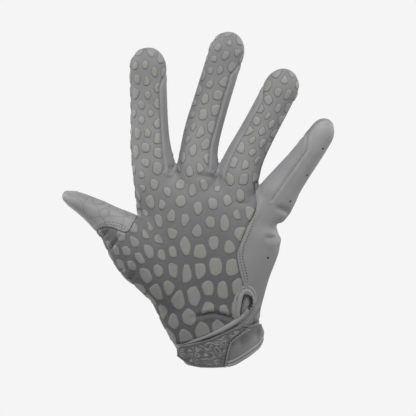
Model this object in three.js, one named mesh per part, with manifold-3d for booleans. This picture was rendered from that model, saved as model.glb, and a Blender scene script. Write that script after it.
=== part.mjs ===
// A receiver's football glove for the left hand, in the full shape it has when worn: printed palm,
// splayed finger stalls with side strips, a plain outer panel, a keyhole vent and a strap cuff.
// Millimetres and degrees. The palm faces -Y, the fingers point up along +Z and the thumb points to -X.
// The origin is the centre of the cuff's opening.

import * as THREE from 'three';
import { mergeVertices } from 'three/addons/utils/BufferGeometryUtils.js';
import Module from 'manifold-3d';

const wasm = await Module();
wasm.setup();

// Fabric, and the clear gap that separates one sewn piece from the next
const wall = 1.6;
const seamGap = 0.35;
const creaseGap = 0.8;
const webGap = 1.3;
const weldDistance = 0.004;
const cutterReach = 95;
const cutterOverrun = 12;
const fullTurnAngle = 360;

// The hand form that fills the glove
const palmBreadth = 98;
const palmLength = 111;
const palmDepth = 38;
const palmHollow = 3;
const palmRoundness = 2.5;
const palmSeamAngle = 100;
const digitRoundness = 2.2;
const fingerFlexionAngle = 80;
const thumbFlexionAngle = 50;

// Cuff, piping, hem and strap
const cuffHeight = 13;
const pipingHeight = 2.2;
const pipingProud = 0.7;
const hemHeight = 3.2;
const hemProud = 0.5;
const slitWidth = 1.2;
const elasticThickness = 0.9;
const elasticWidth = 6;
const elasticHalfAngle = 62;
const fastenerThickness = 0.7;
const strapThickness = 1.2;
const strapPipingProud = 0.6;
const strapPipingWidth = 1.6;
const tabThickness = 1.8;
const strapSpan = 52;
const strapHeight = 27;
const strapHingeAngle = 96;
const strapFreeAngle = -66;
const strapSewnAngle = 150;
const strapSewnShares = [0.06, 0.85];
const strapPipingStartShare = 0.09;
const strapOpeningAngle = 120;

// Keyhole vent on the seam of the side panel, and the slit that runs down from it
const keyholeAcrossShare = 0.173;
const keyholeUpShare = 0.259;
const keyholeLeanAngle = 12;
const keyholeWidth = 6.4;
const keyholeHeight = 16;
const keyholeShoulderAngle = 20;
const keyholePointShare = 1.8;
const bindingWidth = 3.6;
const bindingFlange = 3;
const bindingThickness = 1;

// Digits. Shares place each root on the palm. Angles lean to +X, and curl bends towards the palm side.
// The palm is cut clear of a digit at the swing shares of its flexion.
// A side has either one seam between front and back, or a sewn-in strip that runs between two angles.
const fingerGirthShares = [
  [0, 1.18, 1.14],
  [0.3, 1.2, 1.16],
  [0.4, 1.11, 1.1],
  [0.5, 1.04, 1.05],
  [0.62, 1, 1],
  [0.86, 0.98, 0.9],
  [1, 0.92, 0.8],
];
const littleGirthShares = [
  [0, 1.25, 1.2],
  [0.28, 1.26, 1.18],
  [0.42, 1.1, 1.08],
  [0.56, 1.02, 1],
  [0.75, 0.95, 0.95],
  [0.88, 0.86, 0.86],
  [1, 0.76, 0.78],
];
const thumbGirthShares = [
  [0, 0.8, 0.75],
  [0.12, 1.4, 1.2],
  [0.3, 1.82, 1.5],
  [0.42, 2.2, 1.5],
  [0.52, 2.15, 1.42],
  [0.62, 1.82, 1.25],
  [0.72, 1.36, 1.08],
  [0.8, 1.05, 1],
  [0.9, 0.84, 0.9],
  [1, 0.66, 0.75],
];
const digits = {
  index: {
    acrossShare: -0.418, forwardShare: -0.237, upShare: 0.757,
    rootLeanAngle: -7, tipLeanAngle: -1.5, rootCurlAngle: 1, tipCurlAngle: 13, bendShares: [0.2, 0.45],
    length: 116, width: 24, depth: 20.5, tipLength: 13, creaseHeight: 34,
    girthShares: fingerGirthShares, swingShares: [0],
    left: { seamAngle: -100 }, right: { fromAngle: 40, toAngle: 118 },
  },
  middle: {
    acrossShare: -0.161, forwardShare: -0.245, upShare: 0.757,
    rootLeanAngle: 0, tipLeanAngle: 17, rootCurlAngle: 2, tipCurlAngle: 15, bendShares: [0.22, 0.48],
    length: 129.5, width: 23.3, depth: 20.5, tipLength: 13.5, creaseHeight: 36,
    girthShares: fingerGirthShares, swingShares: [0],
    left: { fromAngle: -118, toAngle: -76 }, right: { fromAngle: 40, toAngle: 118 },
  },
  ring: {
    acrossShare: 0.056, forwardShare: -0.237, upShare: 0.757,
    rootLeanAngle: 12, tipLeanAngle: 28, rootCurlAngle: 2, tipCurlAngle: 17, bendShares: [0.22, 0.48],
    length: 110, width: 22.8, depth: 19.5, tipLength: 13, creaseHeight: 30,
    girthShares: fingerGirthShares, swingShares: [0],
    left: { fromAngle: -118, toAngle: -42 }, right: { fromAngle: 76, toAngle: 118 },
  },
  little: {
    acrossShare: 0.245, forwardShare: -0.2, upShare: 0.72,
    rootLeanAngle: 32, tipLeanAngle: 35.5, rootCurlAngle: 2, tipCurlAngle: 16, bendShares: [0.22, 0.48],
    length: 87, width: 20.8, depth: 18, tipLength: 11.5, creaseHeight: 21.5,
    girthShares: littleGirthShares, swingShares: [0],
    left: { fromAngle: -115, toAngle: -6 }, right: { seamAngle: 100 },
  },
  thumb: {
    acrossShare: -0.204, forwardShare: -0.29, upShare: 0.18,
    rootLeanAngle: -36, tipLeanAngle: -63, rootCurlAngle: 3, tipCurlAngle: 9, bendShares: [0.48, 0.78],
    length: 120, width: 17.2, depth: 21.5, tipLength: 9, creaseHeight: 70,
    girthShares: thumbGirthShares, swingShares: [0, 0.1, 0.2, 0.3],
    left: { seamAngle: -96 }, right: { fromAngle: 92, toAngle: 128 },
  },
};

// Palm sections from the hem to the knuckles: height, centre across, centre forward, half width,
// half depth, hollow, and the section's lean and pitch in degrees
const palmRowShares = [
  [0, 0, 0, 0.26, 0.5, 0, -12, 18],
  [cuffHeight / palmLength, -0.028, -0.105, 0.303, 0.49, 0.1, -15, 16],
  [0.261, -0.062, -0.21, 0.362, 0.474, 0.6, -9, 9],
  [0.432, -0.082, -0.25, 0.427, 0.455, 1, -3, 4],
  [0.613, -0.077, -0.25, 0.482, 0.425, 1, 3, 0],
  [0.69, -0.075, -0.245, 0.502, 0.412, 0.8, 5, 0],
  [0.775, -0.092, -0.24, 0.459, 0.395, 0.5, 8, 0],
  [0.919, -0.112, -0.237, 0.43, 0.35, 0.1, 11, 0],
  [1, -0.12, -0.237, 0.36, 0.22, 0, 12, 0],
];

// Seams of the palm in front view, as shares of the palm's breadth and length
const thumbSeamShares = [
  [-0.4, 0.15], [-0.43, 0.29], [-0.485, 0.385], [-0.53, 0.53], [-0.55, 0.635], [-0.545, 0.86],
];
const sideSeamShares = [
  [0.175, 0.1], [0.16, 0.24], [0.165, 0.346], [0.133, 0.46], [0.115, 0.548], [0.128, 0.605], [0.18, 0.72],
  [0.243, 0.835], [0.232, 0.97],
];

// Hem of the thumb's plain overlay in front view, from the thumb's root, as shares of the thumb's length
const thumbOverlayShares = [
  [-0.585, 0.481], [-0.503, 0.532], [-0.434, 0.56], [-0.372, 0.55], [-0.307, 0.523], [-0.242, 0.472],
];

// Front-view outlines of the strap, its moulded tab and its fastener, as shares of the strap's span
// and height
const strapOutlineShares = [
  [-0.62, -0.1], [-0.55, -0.17], [-0.42, -0.32], [-0.25, -0.43], [0.08, -0.43], [0.19, -0.37], [0.37, -0.16],
  [0.49, 0.03], [0.55, 0.23], [0.75, 0.35], [0.75, 0.72], [0.5, 0.61], [0.37, 0.54], [0.23, 0.585],
  [0.02, 0.39], [-0.18, 0.23], [-0.49, 0.105], [-0.62, 0.08],
];
const tabOutlineShares = [
  [-0.62, -0.07], [-0.55, -0.14], [-0.42, -0.29], [-0.25, -0.395], [0.075, -0.395], [0.13, 0.15],
  [0.37, 0.49], [0.23, 0.555], [0.02, 0.36], [-0.18, 0.2], [-0.49, 0.075], [-0.62, 0.05],
];
const fastenerOutlineShares = [
  [-0.47, -0.17], [-0.34, -0.25], [-0.17, -0.33], [0.02, -0.33], [0.06, 0.2], [0.02, 0.28], [-0.18, 0.12],
  [-0.47, 0.01],
];

// Colours
const fabricRoughness = 0.85;
const printedKnit = { color: 0x77787a, roughness: fabricRoughness };
const plainSynthetic = { color: 0x8b8b8c, roughness: 0.6 };
const stretchKnit = { color: 0x7f8082, roughness: fabricRoughness };
const tapeFabric = { color: 0x7a7a7c, roughness: fabricRoughness };
const mouldedRubber = { color: 0x616264, roughness: 0.5 };
const fastenerPile = { color: 0x5a5b5d, roughness: 0.95 };

// Points counted round a section, and the shares of a limb's length at which sections stand
const palmRingPoints = 26;
const palmLiningPoints = 18;
const digitRingPoints = 14;
const digitLiningPoints = 10;
const digitStationShares = [0, 0.16, 0.31, 0.42, 0.56, 0.74, 0.87];
const tipStationShares = [0.1, 0.55, 0.85, 0.98];
const pathSteps = 120;
const fanStepAngle = 30;
const keyholePoints = 14;

const radians = THREE.MathUtils.degToRad;

// The closed solid through a stack of rings with equal counts of points, capped at both ends. A cutter's
// faces are split from their middles, so that two cutters that share an edge share its whole surface.
function skin(rings, splitFaces = false) {
  const count = rings[0].length;
  const points = rings.flat();
  const triangles = [];
  for (let ring = 0; ring + 1 < rings.length; ring += 1) {
    for (let i = 0; i < count; i += 1) {
      const here = ring * count + i;
      const next = ring * count + ((i + 1) % count);
      const corners = [here, next, next + count, here + count];
      if (splitFaces) {
        const middle = new THREE.Vector3();
        corners.forEach((corner) => middle.addScaledVector(points[corner], 1 / corners.length));
        corners.forEach((corner, k) => {
          triangles.push(corner, corners[(k + 1) % corners.length], points.length);
        });
        points.push(middle);
      } else {
        triangles.push(here, next, next + count, here, next + count, here + count);
      }
    }
  }
  const last = (rings.length - 1) * count;
  for (let i = 1; i + 1 < count; i += 1) {
    triangles.push(0, i + 1, i, last, last + i, last + i + 1);
  }
  const positions = new Float32Array(points.flatMap((point) => point.toArray()));
  const build = (order) => new wasm.Manifold(
    new wasm.Mesh({ numProp: 3, vertProperties: positions, triVerts: new Uint32Array(order) }),
  );
  const made = build(triangles);
  return made.volume() > 0 ? made : build(triangles.reverse());
}

// A closed three.js geometry as a solid for cutting and joining
function solidOf(geometry) {
  const bare = geometry.clone();
  bare.deleteAttribute('normal');
  bare.deleteAttribute('uv');
  const merged = mergeVertices(bare, weldDistance);
  return new wasm.Manifold(new wasm.Mesh({
    numProp: 3,
    vertProperties: merged.attributes.position.array,
    triVerts: new Uint32Array(merged.index.array),
  }));
}

// A front-view outline of [across, up] points, extruded from front to back
function plate(points, front = -cutterReach, back = cutterReach) {
  const shape = new THREE.Shape(points.map(([across, up]) => new THREE.Vector2(across, up)));
  const geometry = new THREE.ExtrudeGeometry(shape, { depth: back - front, bevelEnabled: false });
  geometry.rotateX(Math.PI / 2);
  geometry.translate(0, back, 0);
  return solidOf(geometry);
}

// Linear reading of rows whose first number is the key
function readRows(rows, key) {
  const last = rows.length - 2;
  const found = rows.findIndex((row, i) => i > last || key < rows[i + 1][0]);
  const low = Math.min(Math.max(found, 0), last);
  const share = (key - rows[low][0]) / (rows[low + 1][0] - rows[low][0]);
  return rows[low].map((value, i) => THREE.MathUtils.lerp(value, rows[low + 1][i], share));
}

// The axes of a section that leans to +X and pitches to the palm side
function axesAt(lean, pitch) {
  const across = new THREE.Vector3(Math.cos(radians(lean)), 0, -Math.sin(radians(lean)));
  const along = new THREE.Vector3(
    Math.sin(radians(lean)) * Math.cos(radians(pitch)),
    -Math.sin(radians(pitch)),
    Math.cos(radians(lean)) * Math.cos(radians(pitch)),
  );
  return { across, along, back: new THREE.Vector3().crossVectors(along, across) };
}

// The palm as a limb: station(height) gives the section there, less the inset of an inner surface
const palm = {
  points: palmRingPoints,
  liningPoints: palmLiningPoints,
  roundness: palmRoundness,
  heights: palmRowShares.map((row) => row[0] * palmLength),
  top: palmLength,
  station(height, inset = 0) {
    const row = readRows(palmRowShares, height / palmLength);
    const [, across, forward, halfWidth, halfDepth, hollow, lean, pitch] = row;
    return {
      centre: new THREE.Vector3(across * palmBreadth, forward * palmDepth, height),
      ...axesAt(lean, pitch),
      halfWidth: halfWidth * palmBreadth - inset,
      halfDepth: halfDepth * palmDepth - inset,
      hollow: hollow * palmHollow,
    };
  },
};

// A digit as a limb: its path is stepped out from its root, and its girth closes in a round tip
function digitLimb(digit) {
  const path = [];
  const step = digit.length / pathSteps;
  const centre = new THREE.Vector3(
    digit.acrossShare * palmBreadth,
    digit.forwardShare * palmDepth,
    digit.upShare * palmLength,
  );
  for (let i = 0; i <= pathSteps; i += 1) {
    const turn = THREE.MathUtils.smoothstep(i / pathSteps, ...digit.bendShares);
    const axes = axesAt(
      THREE.MathUtils.lerp(digit.rootLeanAngle, digit.tipLeanAngle, turn),
      THREE.MathUtils.lerp(digit.rootCurlAngle, digit.tipCurlAngle, i / pathSteps),
    );
    path.push({ centre: centre.clone(), ...axes });
    centre.addScaledVector(axes.along, step);
  }
  const straight = digit.length - digit.tipLength;
  const heights = digitStationShares
    .map((share) => share * digit.length)
    .filter((height) => height < straight);
  tipStationShares.forEach((share) => heights.push(straight + share * digit.tipLength));
  return {
    ...digit,
    points: digitRingPoints,
    liningPoints: digitLiningPoints,
    roundness: digitRoundness,
    heights,
    top: heights[heights.length - 1],
    station(height, inset = 0) {
      const place = Math.max(height / step, 0);
      const low = Math.min(Math.floor(place), pathSteps);
      const here = path[low];
      const [, width, depth] = readRows(digit.girthShares, height / digit.length);
      const into = Math.min(Math.max((height - straight) / digit.tipLength, 0), tipStationShares.at(-1));
      const round = Math.sqrt(1 - into * into);
      return {
        across: here.across,
        along: here.along,
        back: here.back,
        centre: here.centre.clone().addScaledVector(here.along, (place - low) * step - inset * into),
        halfWidth: (width * digit.width * round) / 2 - inset * round,
        halfDepth: (depth * digit.depth * round) / 2 - inset * round,
        hollow: 0,
      };
    },
  };
}

// A point of a section at an angle from the palm side, positive towards the section's +X side
function onSection(station, angle, roundness) {
  const bend = (value) => Math.sign(value) * Math.abs(value) ** (2 / roundness);
  const side = bend(Math.sin(angle));
  const front = bend(Math.cos(angle));
  const hollow = front > 0 ? station.hollow * (1 - side * side) ** 2 : 0;
  return station.centre.clone()
    .addScaledVector(station.across, side * station.halfWidth)
    .addScaledVector(station.back, hollow - front * station.halfDepth);
}

function heightsBetween(limb, from, to) {
  return [from, ...limb.heights.filter((height) => height > from && height < to), to];
}

// The solid inside a limb's surface, grown by a negative inset, between two heights
function sleeve(limb, inset, from = limb.heights[0], to = limb.top, points = limb.points) {
  return skin(heightsBetween(limb, from, to).map((height) => {
    const station = limb.station(height, inset);
    return Array.from({ length: points }, (_, i) => (
      onSection(station, (i / points) * 2 * Math.PI, limb.roundness)
    ));
  }));
}

// A cutter that fans out from a limb's centreline between two angles in degrees
function fan(limb, fromAngle, toAngle, from, to) {
  const steps = Math.ceil((toAngle - fromAngle) / fanStepAngle);
  return skin(heightsBetween(limb, from, to).map((height) => {
    const station = limb.station(height);
    const rays = Array.from({ length: steps + 1 }, (_, i) => {
      const angle = radians(THREE.MathUtils.lerp(fromAngle, toAngle, i / steps));
      return station.centre.clone()
        .addScaledVector(station.across, Math.sin(angle) * cutterReach)
        .addScaledVector(station.back, -Math.cos(angle) * cutterReach);
    });
    return [station.centre.clone(), ...rays];
  }), true);
}

// A thin cutter along one angle of a limb, which leaves the gap of a seam
function fin(limb, angle, from, to, thickness = seamGap) {
  return skin(heightsBetween(limb, from, to).map((height) => {
    const station = limb.station(height);
    const ray = new THREE.Vector3()
      .addScaledVector(station.across, Math.sin(radians(angle)))
      .addScaledVector(station.back, -Math.cos(radians(angle)));
    const aside = new THREE.Vector3().crossVectors(station.along, ray).multiplyScalar(thickness / 2);
    const far = station.centre.clone().addScaledVector(ray, cutterReach);
    return [
      station.centre.clone().sub(aside),
      station.centre.clone().add(aside),
      far.clone().add(aside),
      far.clone().sub(aside),
    ];
  }), true);
}

const join = (solids) => solids.reduce((all, solid) => all.add(solid));
const cut = (solid, cutters) => cutters.reduce((left, cutter) => left.subtract(cutter), solid);

// The whole fabric shell, before it is parted into its panels
const limbs = Object.fromEntries(Object.entries(digits).map(([name, digit]) => [name, digitLimb(digit)]));
const everyLimb = [palm, ...Object.values(limbs)];
const outside = join(everyLimb.map((limb) => sleeve(limb, 0)));
const inside = join([
  sleeve(palm, wall, -cutterOverrun, palmLength - wall, palm.liningPoints),
  ...Object.values(limbs).map((limb) => sleeve(limb, wall, 0, limb.top, limb.liningPoints)),
]);
const shell = outside.subtract(inside);

const pieces = [];
function addPiece(body, name, solid, look) {
  pieces.push({ body, name, solid, look });
}

// A piece is the largest body of its cut, welded, without the crumbs that crossing seams may leave
function largest(solid) {
  return solid.decompose().sort((one, other) => other.volume() - one.volume())[0];
}

function geometryOf(solid) {
  const made = solid.getMesh();
  const geometry = new THREE.BufferGeometry();
  geometry.setAttribute('position', new THREE.BufferAttribute(new Float32Array(made.vertProperties), 3));
  geometry.setIndex(new THREE.BufferAttribute(new Uint32Array(made.triVerts), 1));
  return geometry;
}

const welded = (solid) => largest(solidOf(geometryOf(largest(solid))));

// Each digit is parted from the palm at its crease, and then into front, back and side strips
const pivots = {};
let palmShell = shell;
Object.entries(limbs).forEach(([name, limb]) => {
  const crease = limb.creaseHeight;
  const beyond = limb.top + cutterOverrun;
  const stripEnd = limb.length - limb.tipLength;
  const station = limb.station(crease);
  pivots[name] = {
    position: onSection(station, 0, limb.roundness),
    axis: station.across.clone(),
    range: name === 'thumb' ? thumbFlexionAngle : fingerFlexionAngle,
  };
  const stall = shell.intersect(sleeve(limb, -seamGap, crease + creaseGap / 2));
  palmShell = cut(palmShell, limb.swingShares.map((share) => {
    const { position, axis, range } = pivots[name];
    const swing = new THREE.Matrix4().makeTranslation(position)
      .multiply(new THREE.Matrix4().makeRotationAxis(axis, radians(share * range)))
      .multiply(new THREE.Matrix4().makeTranslation(position.clone().negate()));
    return sleeve(limb, -webGap, crease - creaseGap / 2).transform(swing.elements);
  }));

  const divide = (side) => (side.seamAngle ?? (side.fromAngle + side.toAngle) / 2);
  const strips = [limb.left, limb.right].filter((side) => side.seamAngle === undefined);
  const fins = [limb.left, limb.right].flatMap((side) => (
    side.seamAngle !== undefined
      ? [fin(limb, side.seamAngle, crease, beyond)]
      : [
        fin(limb, side.fromAngle, crease, stripEnd + seamGap),
        fin(limb, side.toAngle, crease, stripEnd + seamGap),
        fin(limb, divide(side), stripEnd, beyond),
      ]
  ));
  const rooms = strips.map((side) => fan(limb, side.fromAngle, side.toAngle, crease, stripEnd + seamGap));
  const half = (from, to) => cut(stall.intersect(fan(limb, from, to, crease, beyond)), [...fins, ...rooms]);
  const front = half(divide(limb.left), divide(limb.right));
  addPiece(name, `${name}_back`, half(divide(limb.right), divide(limb.left) + fullTurnAngle), stretchKnit);
  strips.forEach((side) => {
    const strip = cut(stall.intersect(fan(limb, side.fromAngle, side.toAngle, crease, stripEnd)), fins);
    addPiece(name, `${name}_strip_${side.fromAngle < 0 ? 'left' : 'right'}`, strip, stretchKnit);
  });
  if (name !== 'thumb') {
    addPiece(name, `${name}_front`, front, name === 'little' ? plainSynthetic : printedKnit);
    return;
  }
  const root = limb.station(0).centre;
  const hem = thumbOverlayShares.map(([across, up]) => [
    root.x + across * limb.length,
    root.z + up * limb.length,
  ]);
  const above = (lift) => plate([
    [hem[0][0] - limb.length, hem[0][1] + lift],
    ...hem.map(([across, up]) => [across, up + lift]),
    [hem.at(-1)[0] + limb.length, hem.at(-1)[1] + lift],
    [hem.at(-1)[0] + limb.length, root.z + 2 * limb.length],
    [hem[0][0] - limb.length, root.z + 2 * limb.length],
  ]);
  addPiece(name, 'thumb_overlay', front.intersect(above(seamGap / 2)), plainSynthetic);
  addPiece(name, 'thumb_front', front.subtract(above(-seamGap / 2)), printedKnit);
});

// A ring of material that follows the palm's surface, between two distances from it and two heights
function layer(inner, outer, from, to) {
  const core = sleeve(palm, -inner, from - cutterOverrun, to + cutterOverrun);
  return sleeve(palm, -outer, from, to).subtract(core);
}

// The keyhole's outline, grown all round by a distance: a drop whose point is down, tilted to the left
function keyholeOutline(grown) {
  const half = keyholeWidth / 2 + grown;
  const drop = keyholeHeight - keyholeWidth / 2 + grown * keyholePointShare;
  const shoulder = radians(keyholeShoulderAngle);
  const points = Array.from({ length: keyholePoints + 1 }, (_, i) => {
    const turn = THREE.MathUtils.lerp(-shoulder, Math.PI + shoulder, i / keyholePoints);
    return new THREE.Vector2(Math.cos(turn) * half, Math.sin(turn) * half);
  });
  points.push(new THREE.Vector2(0, -drop));
  const head = new THREE.Vector2(0, keyholeHeight / 2 - keyholeWidth / 2);
  return points.map((point) => {
    const place = point.add(head).rotateAround(new THREE.Vector2(), -radians(keyholeLeanAngle));
    return [keyholeAcrossShare * palmBreadth + place.x, keyholeUpShare * palmLength + place.y];
  });
}

// The slit runs from inside the keyhole, along its tilt, down through the hem on the palm side only
const slitLean = radians(keyholeLeanAngle);
const slitRun = new THREE.Vector2(-Math.sin(slitLean), -Math.cos(slitLean));
const slitTop = new THREE.Vector2(keyholeAcrossShare * palmBreadth, keyholeUpShare * palmLength);
const slitFoot = slitTop.clone().addScaledVector(slitRun, palmLength);
const slit = plate([
  [slitFoot.x - slitWidth / 2, slitFoot.y],
  [slitFoot.x + slitWidth / 2, slitFoot.y],
  [slitTop.x + slitWidth / 2, slitTop.y],
  [slitTop.x - slitWidth / 2, slitTop.y],
], -cutterReach, 0);
const keyholeLip = bindingWidth - bindingFlange;
const keyholeRoom = plate(keyholeOutline(keyholeLip + seamGap), -cutterReach, 0);

// The palm above the cuff: back panel, then printed palm, thumb saddle and plain side panel
const handFoot = cuffHeight + pipingHeight / 2 + seamGap;
const handTop = palmLength + cutterOverrun + Math.max(...Object.values(digits).map((digit) => digit.width));
const handShell = cut(palmShell, [
  sleeve(palm, -cutterReach, -cutterOverrun, handFoot),
  fin(palm, -palmSeamAngle, -cutterOverrun, handTop),
  fin(palm, palmSeamAngle, -cutterOverrun, handTop),
]);
const palmSide = cut(
  handShell.intersect(fan(palm, -palmSeamAngle, palmSeamAngle, 0, handTop)),
  [keyholeRoom, slit],
);
const backSide = handShell.intersect(fan(palm, palmSeamAngle, fullTurnAngle - palmSeamAngle, 0, handTop));
addPiece('hand', 'back_panel', backSide, stretchKnit);

const thumbSeam = thumbSeamShares.map(([across, up]) => [across * palmBreadth, up * palmLength]);
const sideSeam = sideSeamShares.map(([across, up]) => [across * palmBreadth, up * palmLength]);
const leftOfThumbSeam = (shift) => plate([
  [thumbSeam[0][0] + shift, -palmLength],
  ...thumbSeam.map(([across, up]) => [across + shift, up + shift]),
  [-2 * palmBreadth, thumbSeam.at(-1)[1] + shift],
  [-2 * palmBreadth, -palmLength],
]);
const rightOfSideSeam = (shift) => plate([
  [2 * palmBreadth, -palmLength],
  [2 * palmBreadth, 2 * palmLength],
  [sideSeam.at(-1)[0] + shift, 2 * palmLength],
  ...sideSeam.map(([across, up]) => [across + shift, up]).reverse(),
  [sideSeam[0][0] + shift, -palmLength],
]);
addPiece('hand', 'thumb_saddle', palmSide.intersect(leftOfThumbSeam(0)), printedKnit);
addPiece('hand', 'side_panel', palmSide.intersect(rightOfSideSeam(0)), plainSynthetic);
const betweenSeams = cut(palmSide, [leftOfThumbSeam(seamGap), rightOfSideSeam(-seamGap)]);
addPiece('hand', 'palm_panel', betweenSeams, printedKnit);

// The cuff, its piping and its hem, all open at the slit
const pipingFoot = cuffHeight - pipingHeight / 2;
const cuffBand = layer(-wall, 0, hemHeight + seamGap, pipingFoot - seamGap);
const cuffPiping = layer(-wall, pipingProud, pipingFoot, pipingFoot + pipingHeight);
const cuffHem = layer(-wall, hemProud, 0, hemHeight);
addPiece('hand', 'cuff_band', cuffBand.subtract(slit), stretchKnit);
addPiece('hand', 'cuff_piping', cuffPiping.subtract(slit), tapeFabric);
addPiece('hand', 'cuff_hem_binding', cuffHem.subtract(slit), tapeFabric);

// The keyhole's binding: a flange on the outside and a lip through the panels
const bindingTop = keyholeUpShare * palmLength + keyholeHeight;
const bindingFace = seamGap + bindingThickness;
const flange = layer(seamGap, bindingFace, handFoot, bindingTop)
  .intersect(plate(keyholeOutline(bindingWidth), -cutterReach, 0));
const lip = layer(-wall, bindingFace, handFoot, bindingTop)
  .intersect(plate(keyholeOutline(keyholeLip), -cutterReach, 0));
const hole = plate(keyholeOutline(0), -cutterReach, 0);
addPiece('hand', 'keyhole_binding', cut(flange.add(lip), [hole, slit]), tapeFabric);

// The elastic sewn inside the back of the cuff
const elasticFoot = (cuffHeight - elasticWidth) / 2;
const elasticFace = -wall - seamGap;
const elastic = layer(elasticFace - elasticThickness, elasticFace, elasticFoot, elasticFoot + elasticWidth)
  .intersect(fan(palm, 180 - elasticHalfAngle, 180 + elasticHalfAngle, 0, cuffHeight));
addPiece('hand', 'wrist_elastic', elastic, stretchKnit);

// The strap's stack, from the cuff outwards: loop patch, hook patch, band and moulded tab
const strapOutline = strapOutlineShares.map(([across, up]) => [across * strapSpan, up * strapHeight]);
const tabOutline = tabOutlineShares.map(([across, up]) => [across * strapSpan, up * strapHeight]);
const fastenerOutline = fastenerOutlineShares.map(([across, up]) => [across * strapSpan, up * strapHeight]);
const loopFoot = Math.max(pipingProud, hemProud) + seamGap;
const hookFoot = loopFoot + fastenerThickness + seamGap;
const bandFoot = hookFoot + fastenerThickness + seamGap;
const bandTop = bandFoot + strapThickness;
const tabFoot = bandTop + seamGap;
const strapLow = -strapHeight / 2;
const strapHigh = strapHeight;
const patchPlate = plate(fastenerOutline, -cutterReach, 0);
const loopPatch = layer(loopFoot, loopFoot + fastenerThickness, strapLow, strapHigh).intersect(patchPlate);
const hookPatch = layer(hookFoot, hookFoot + fastenerThickness, strapLow, strapHigh).intersect(patchPlate);
addPiece('hand', 'loop_patch', loopPatch.subtract(slit), fastenerPile);
addPiece('strap', 'hook_patch', hookPatch, fastenerPile);

// The band is trimmed along its lower edge by the piping, which starts beside the tab
const strapCut = fin(palm, strapHingeAngle, strapLow, strapHigh);
const wrap = fan(palm, strapFreeAngle, strapHingeAngle, strapLow, strapHigh);
const lifted = (lift) => plate(strapOutline.map(([across, up]) => [across, up + lift]));
const besideTab = (shift) => plate([
  [strapPipingStartShare * strapSpan + shift, -palmLength],
  [palmBreadth, -palmLength],
  [palmBreadth, palmLength],
  [strapPipingStartShare * strapSpan + shift, palmLength],
]);
const edgeRoom = (lift, shift) => besideTab(shift).subtract(lifted(lift));
const strapShape = (inner, outer) => layer(inner, outer, strapLow, strapHigh)
  .intersect(lifted(0)).intersect(wrap).subtract(strapCut);
const strapBand = strapShape(bandFoot, bandTop).subtract(edgeRoom(strapPipingWidth + seamGap, -seamGap));
const strapPiping = strapShape(bandFoot, bandTop + strapPipingProud).intersect(edgeRoom(strapPipingWidth, 0));
const pullTab = layer(tabFoot, tabFoot + tabThickness, strapLow, strapHigh)
  .intersect(plate(tabOutline, -cutterReach, 0))
  .intersect(wrap);
addPiece('strap', 'strap_band', strapBand, plainSynthetic);
addPiece('strap', 'strap_piping', strapPiping, tapeFabric);
addPiece('strap', 'pull_tab', pullTab, mouldedRubber);

// The strap's sewn end stays on the cuff behind the hinge
const [sewnFoot, sewnHead] = strapSewnShares.map((share) => share * cuffHeight);
const sewnEnd = layer(loopFoot, bandTop, sewnFoot, sewnHead)
  .intersect(fan(palm, strapHingeAngle, strapSewnAngle, strapLow, strapHigh))
  .subtract(strapCut);
addPiece('hand', 'strap_sewn_end', sewnEnd, plainSynthetic);

const hinge = palm.station((sewnFoot + sewnHead) / 2, -bandTop - 2 * seamGap);
pivots.strap = {
  position: onSection(hinge, radians(strapHingeAngle), palmRoundness),
  axis: hinge.along.clone(),
  range: strapOpeningAngle,
};

// Every moving body is a group at its pivot, and its meshes are placed back from there
const glove = new THREE.Group();
const bodies = { hand: glove };
Object.entries(pivots).forEach(([name, pivot]) => {
  bodies[name] = new THREE.Group();
  bodies[name].position.copy(pivot.position);
  bodies[name].userData = { axis: pivot.axis.toArray(), range: [0, pivot.range] };
  glove.add(bodies[name]);
});
pieces.forEach(({ body, name, solid, look }) => {
  const geometry = geometryOf(welded(solid));
  geometry.computeVertexNormals();
  const mesh = new THREE.Mesh(geometry, new THREE.MeshStandardMaterial({ ...look, metalness: 0 }));
  mesh.name = name;
  if (bodies[body] !== glove) {
    geometry.translate(...bodies[body].position.clone().negate().toArray());
  }
  bodies[body].add(mesh);
});

export default glove;
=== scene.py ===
# A receiver's football glove for the left hand, as it is when worn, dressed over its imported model.
# Lengths are in millimetres until a mesh is made, which is in metres. Pixels are those of the picture.

import math

import bmesh
import bpy
import numpy as np
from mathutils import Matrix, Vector, noise
from mathutils.bvhtree import BVHTree
from mathutils.kdtree import KDTree


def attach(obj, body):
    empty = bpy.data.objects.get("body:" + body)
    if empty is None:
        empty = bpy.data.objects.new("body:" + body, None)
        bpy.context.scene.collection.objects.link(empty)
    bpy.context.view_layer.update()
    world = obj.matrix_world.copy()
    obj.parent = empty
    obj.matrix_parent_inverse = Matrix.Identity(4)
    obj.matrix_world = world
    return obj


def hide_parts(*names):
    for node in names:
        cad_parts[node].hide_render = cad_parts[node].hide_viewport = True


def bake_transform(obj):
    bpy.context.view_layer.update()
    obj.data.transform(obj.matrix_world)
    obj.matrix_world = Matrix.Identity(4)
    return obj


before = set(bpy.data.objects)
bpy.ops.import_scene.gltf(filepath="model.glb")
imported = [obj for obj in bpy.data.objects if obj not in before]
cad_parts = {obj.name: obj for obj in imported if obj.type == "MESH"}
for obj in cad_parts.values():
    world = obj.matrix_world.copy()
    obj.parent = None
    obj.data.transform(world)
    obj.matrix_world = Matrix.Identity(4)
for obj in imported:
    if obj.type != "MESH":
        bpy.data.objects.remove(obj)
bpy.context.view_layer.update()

METRE = 0.001
SEED = 11
draw = np.random.default_rng(SEED)

# The picture: millimetres to a pixel, and the pixel where the frame's origin lies
PIXEL = 0.66
ORIGIN_PIXEL = (220.0, 349.0)
PICTURE = 416

# The hand form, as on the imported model
WALL = 1.5
PALM_BREADTH, PALM_LENGTH, PALM_DEPTH = 98.0, 111.0, 38.0
PALM_HOLLOW = 3.0
PALM_ROUNDNESS, DIGIT_ROUNDNESS = 2.5, 2.2
PALM_SEAM = 100.0
CUFF_HEIGHT = 13.0
BELOW_HEM = 9.0

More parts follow.
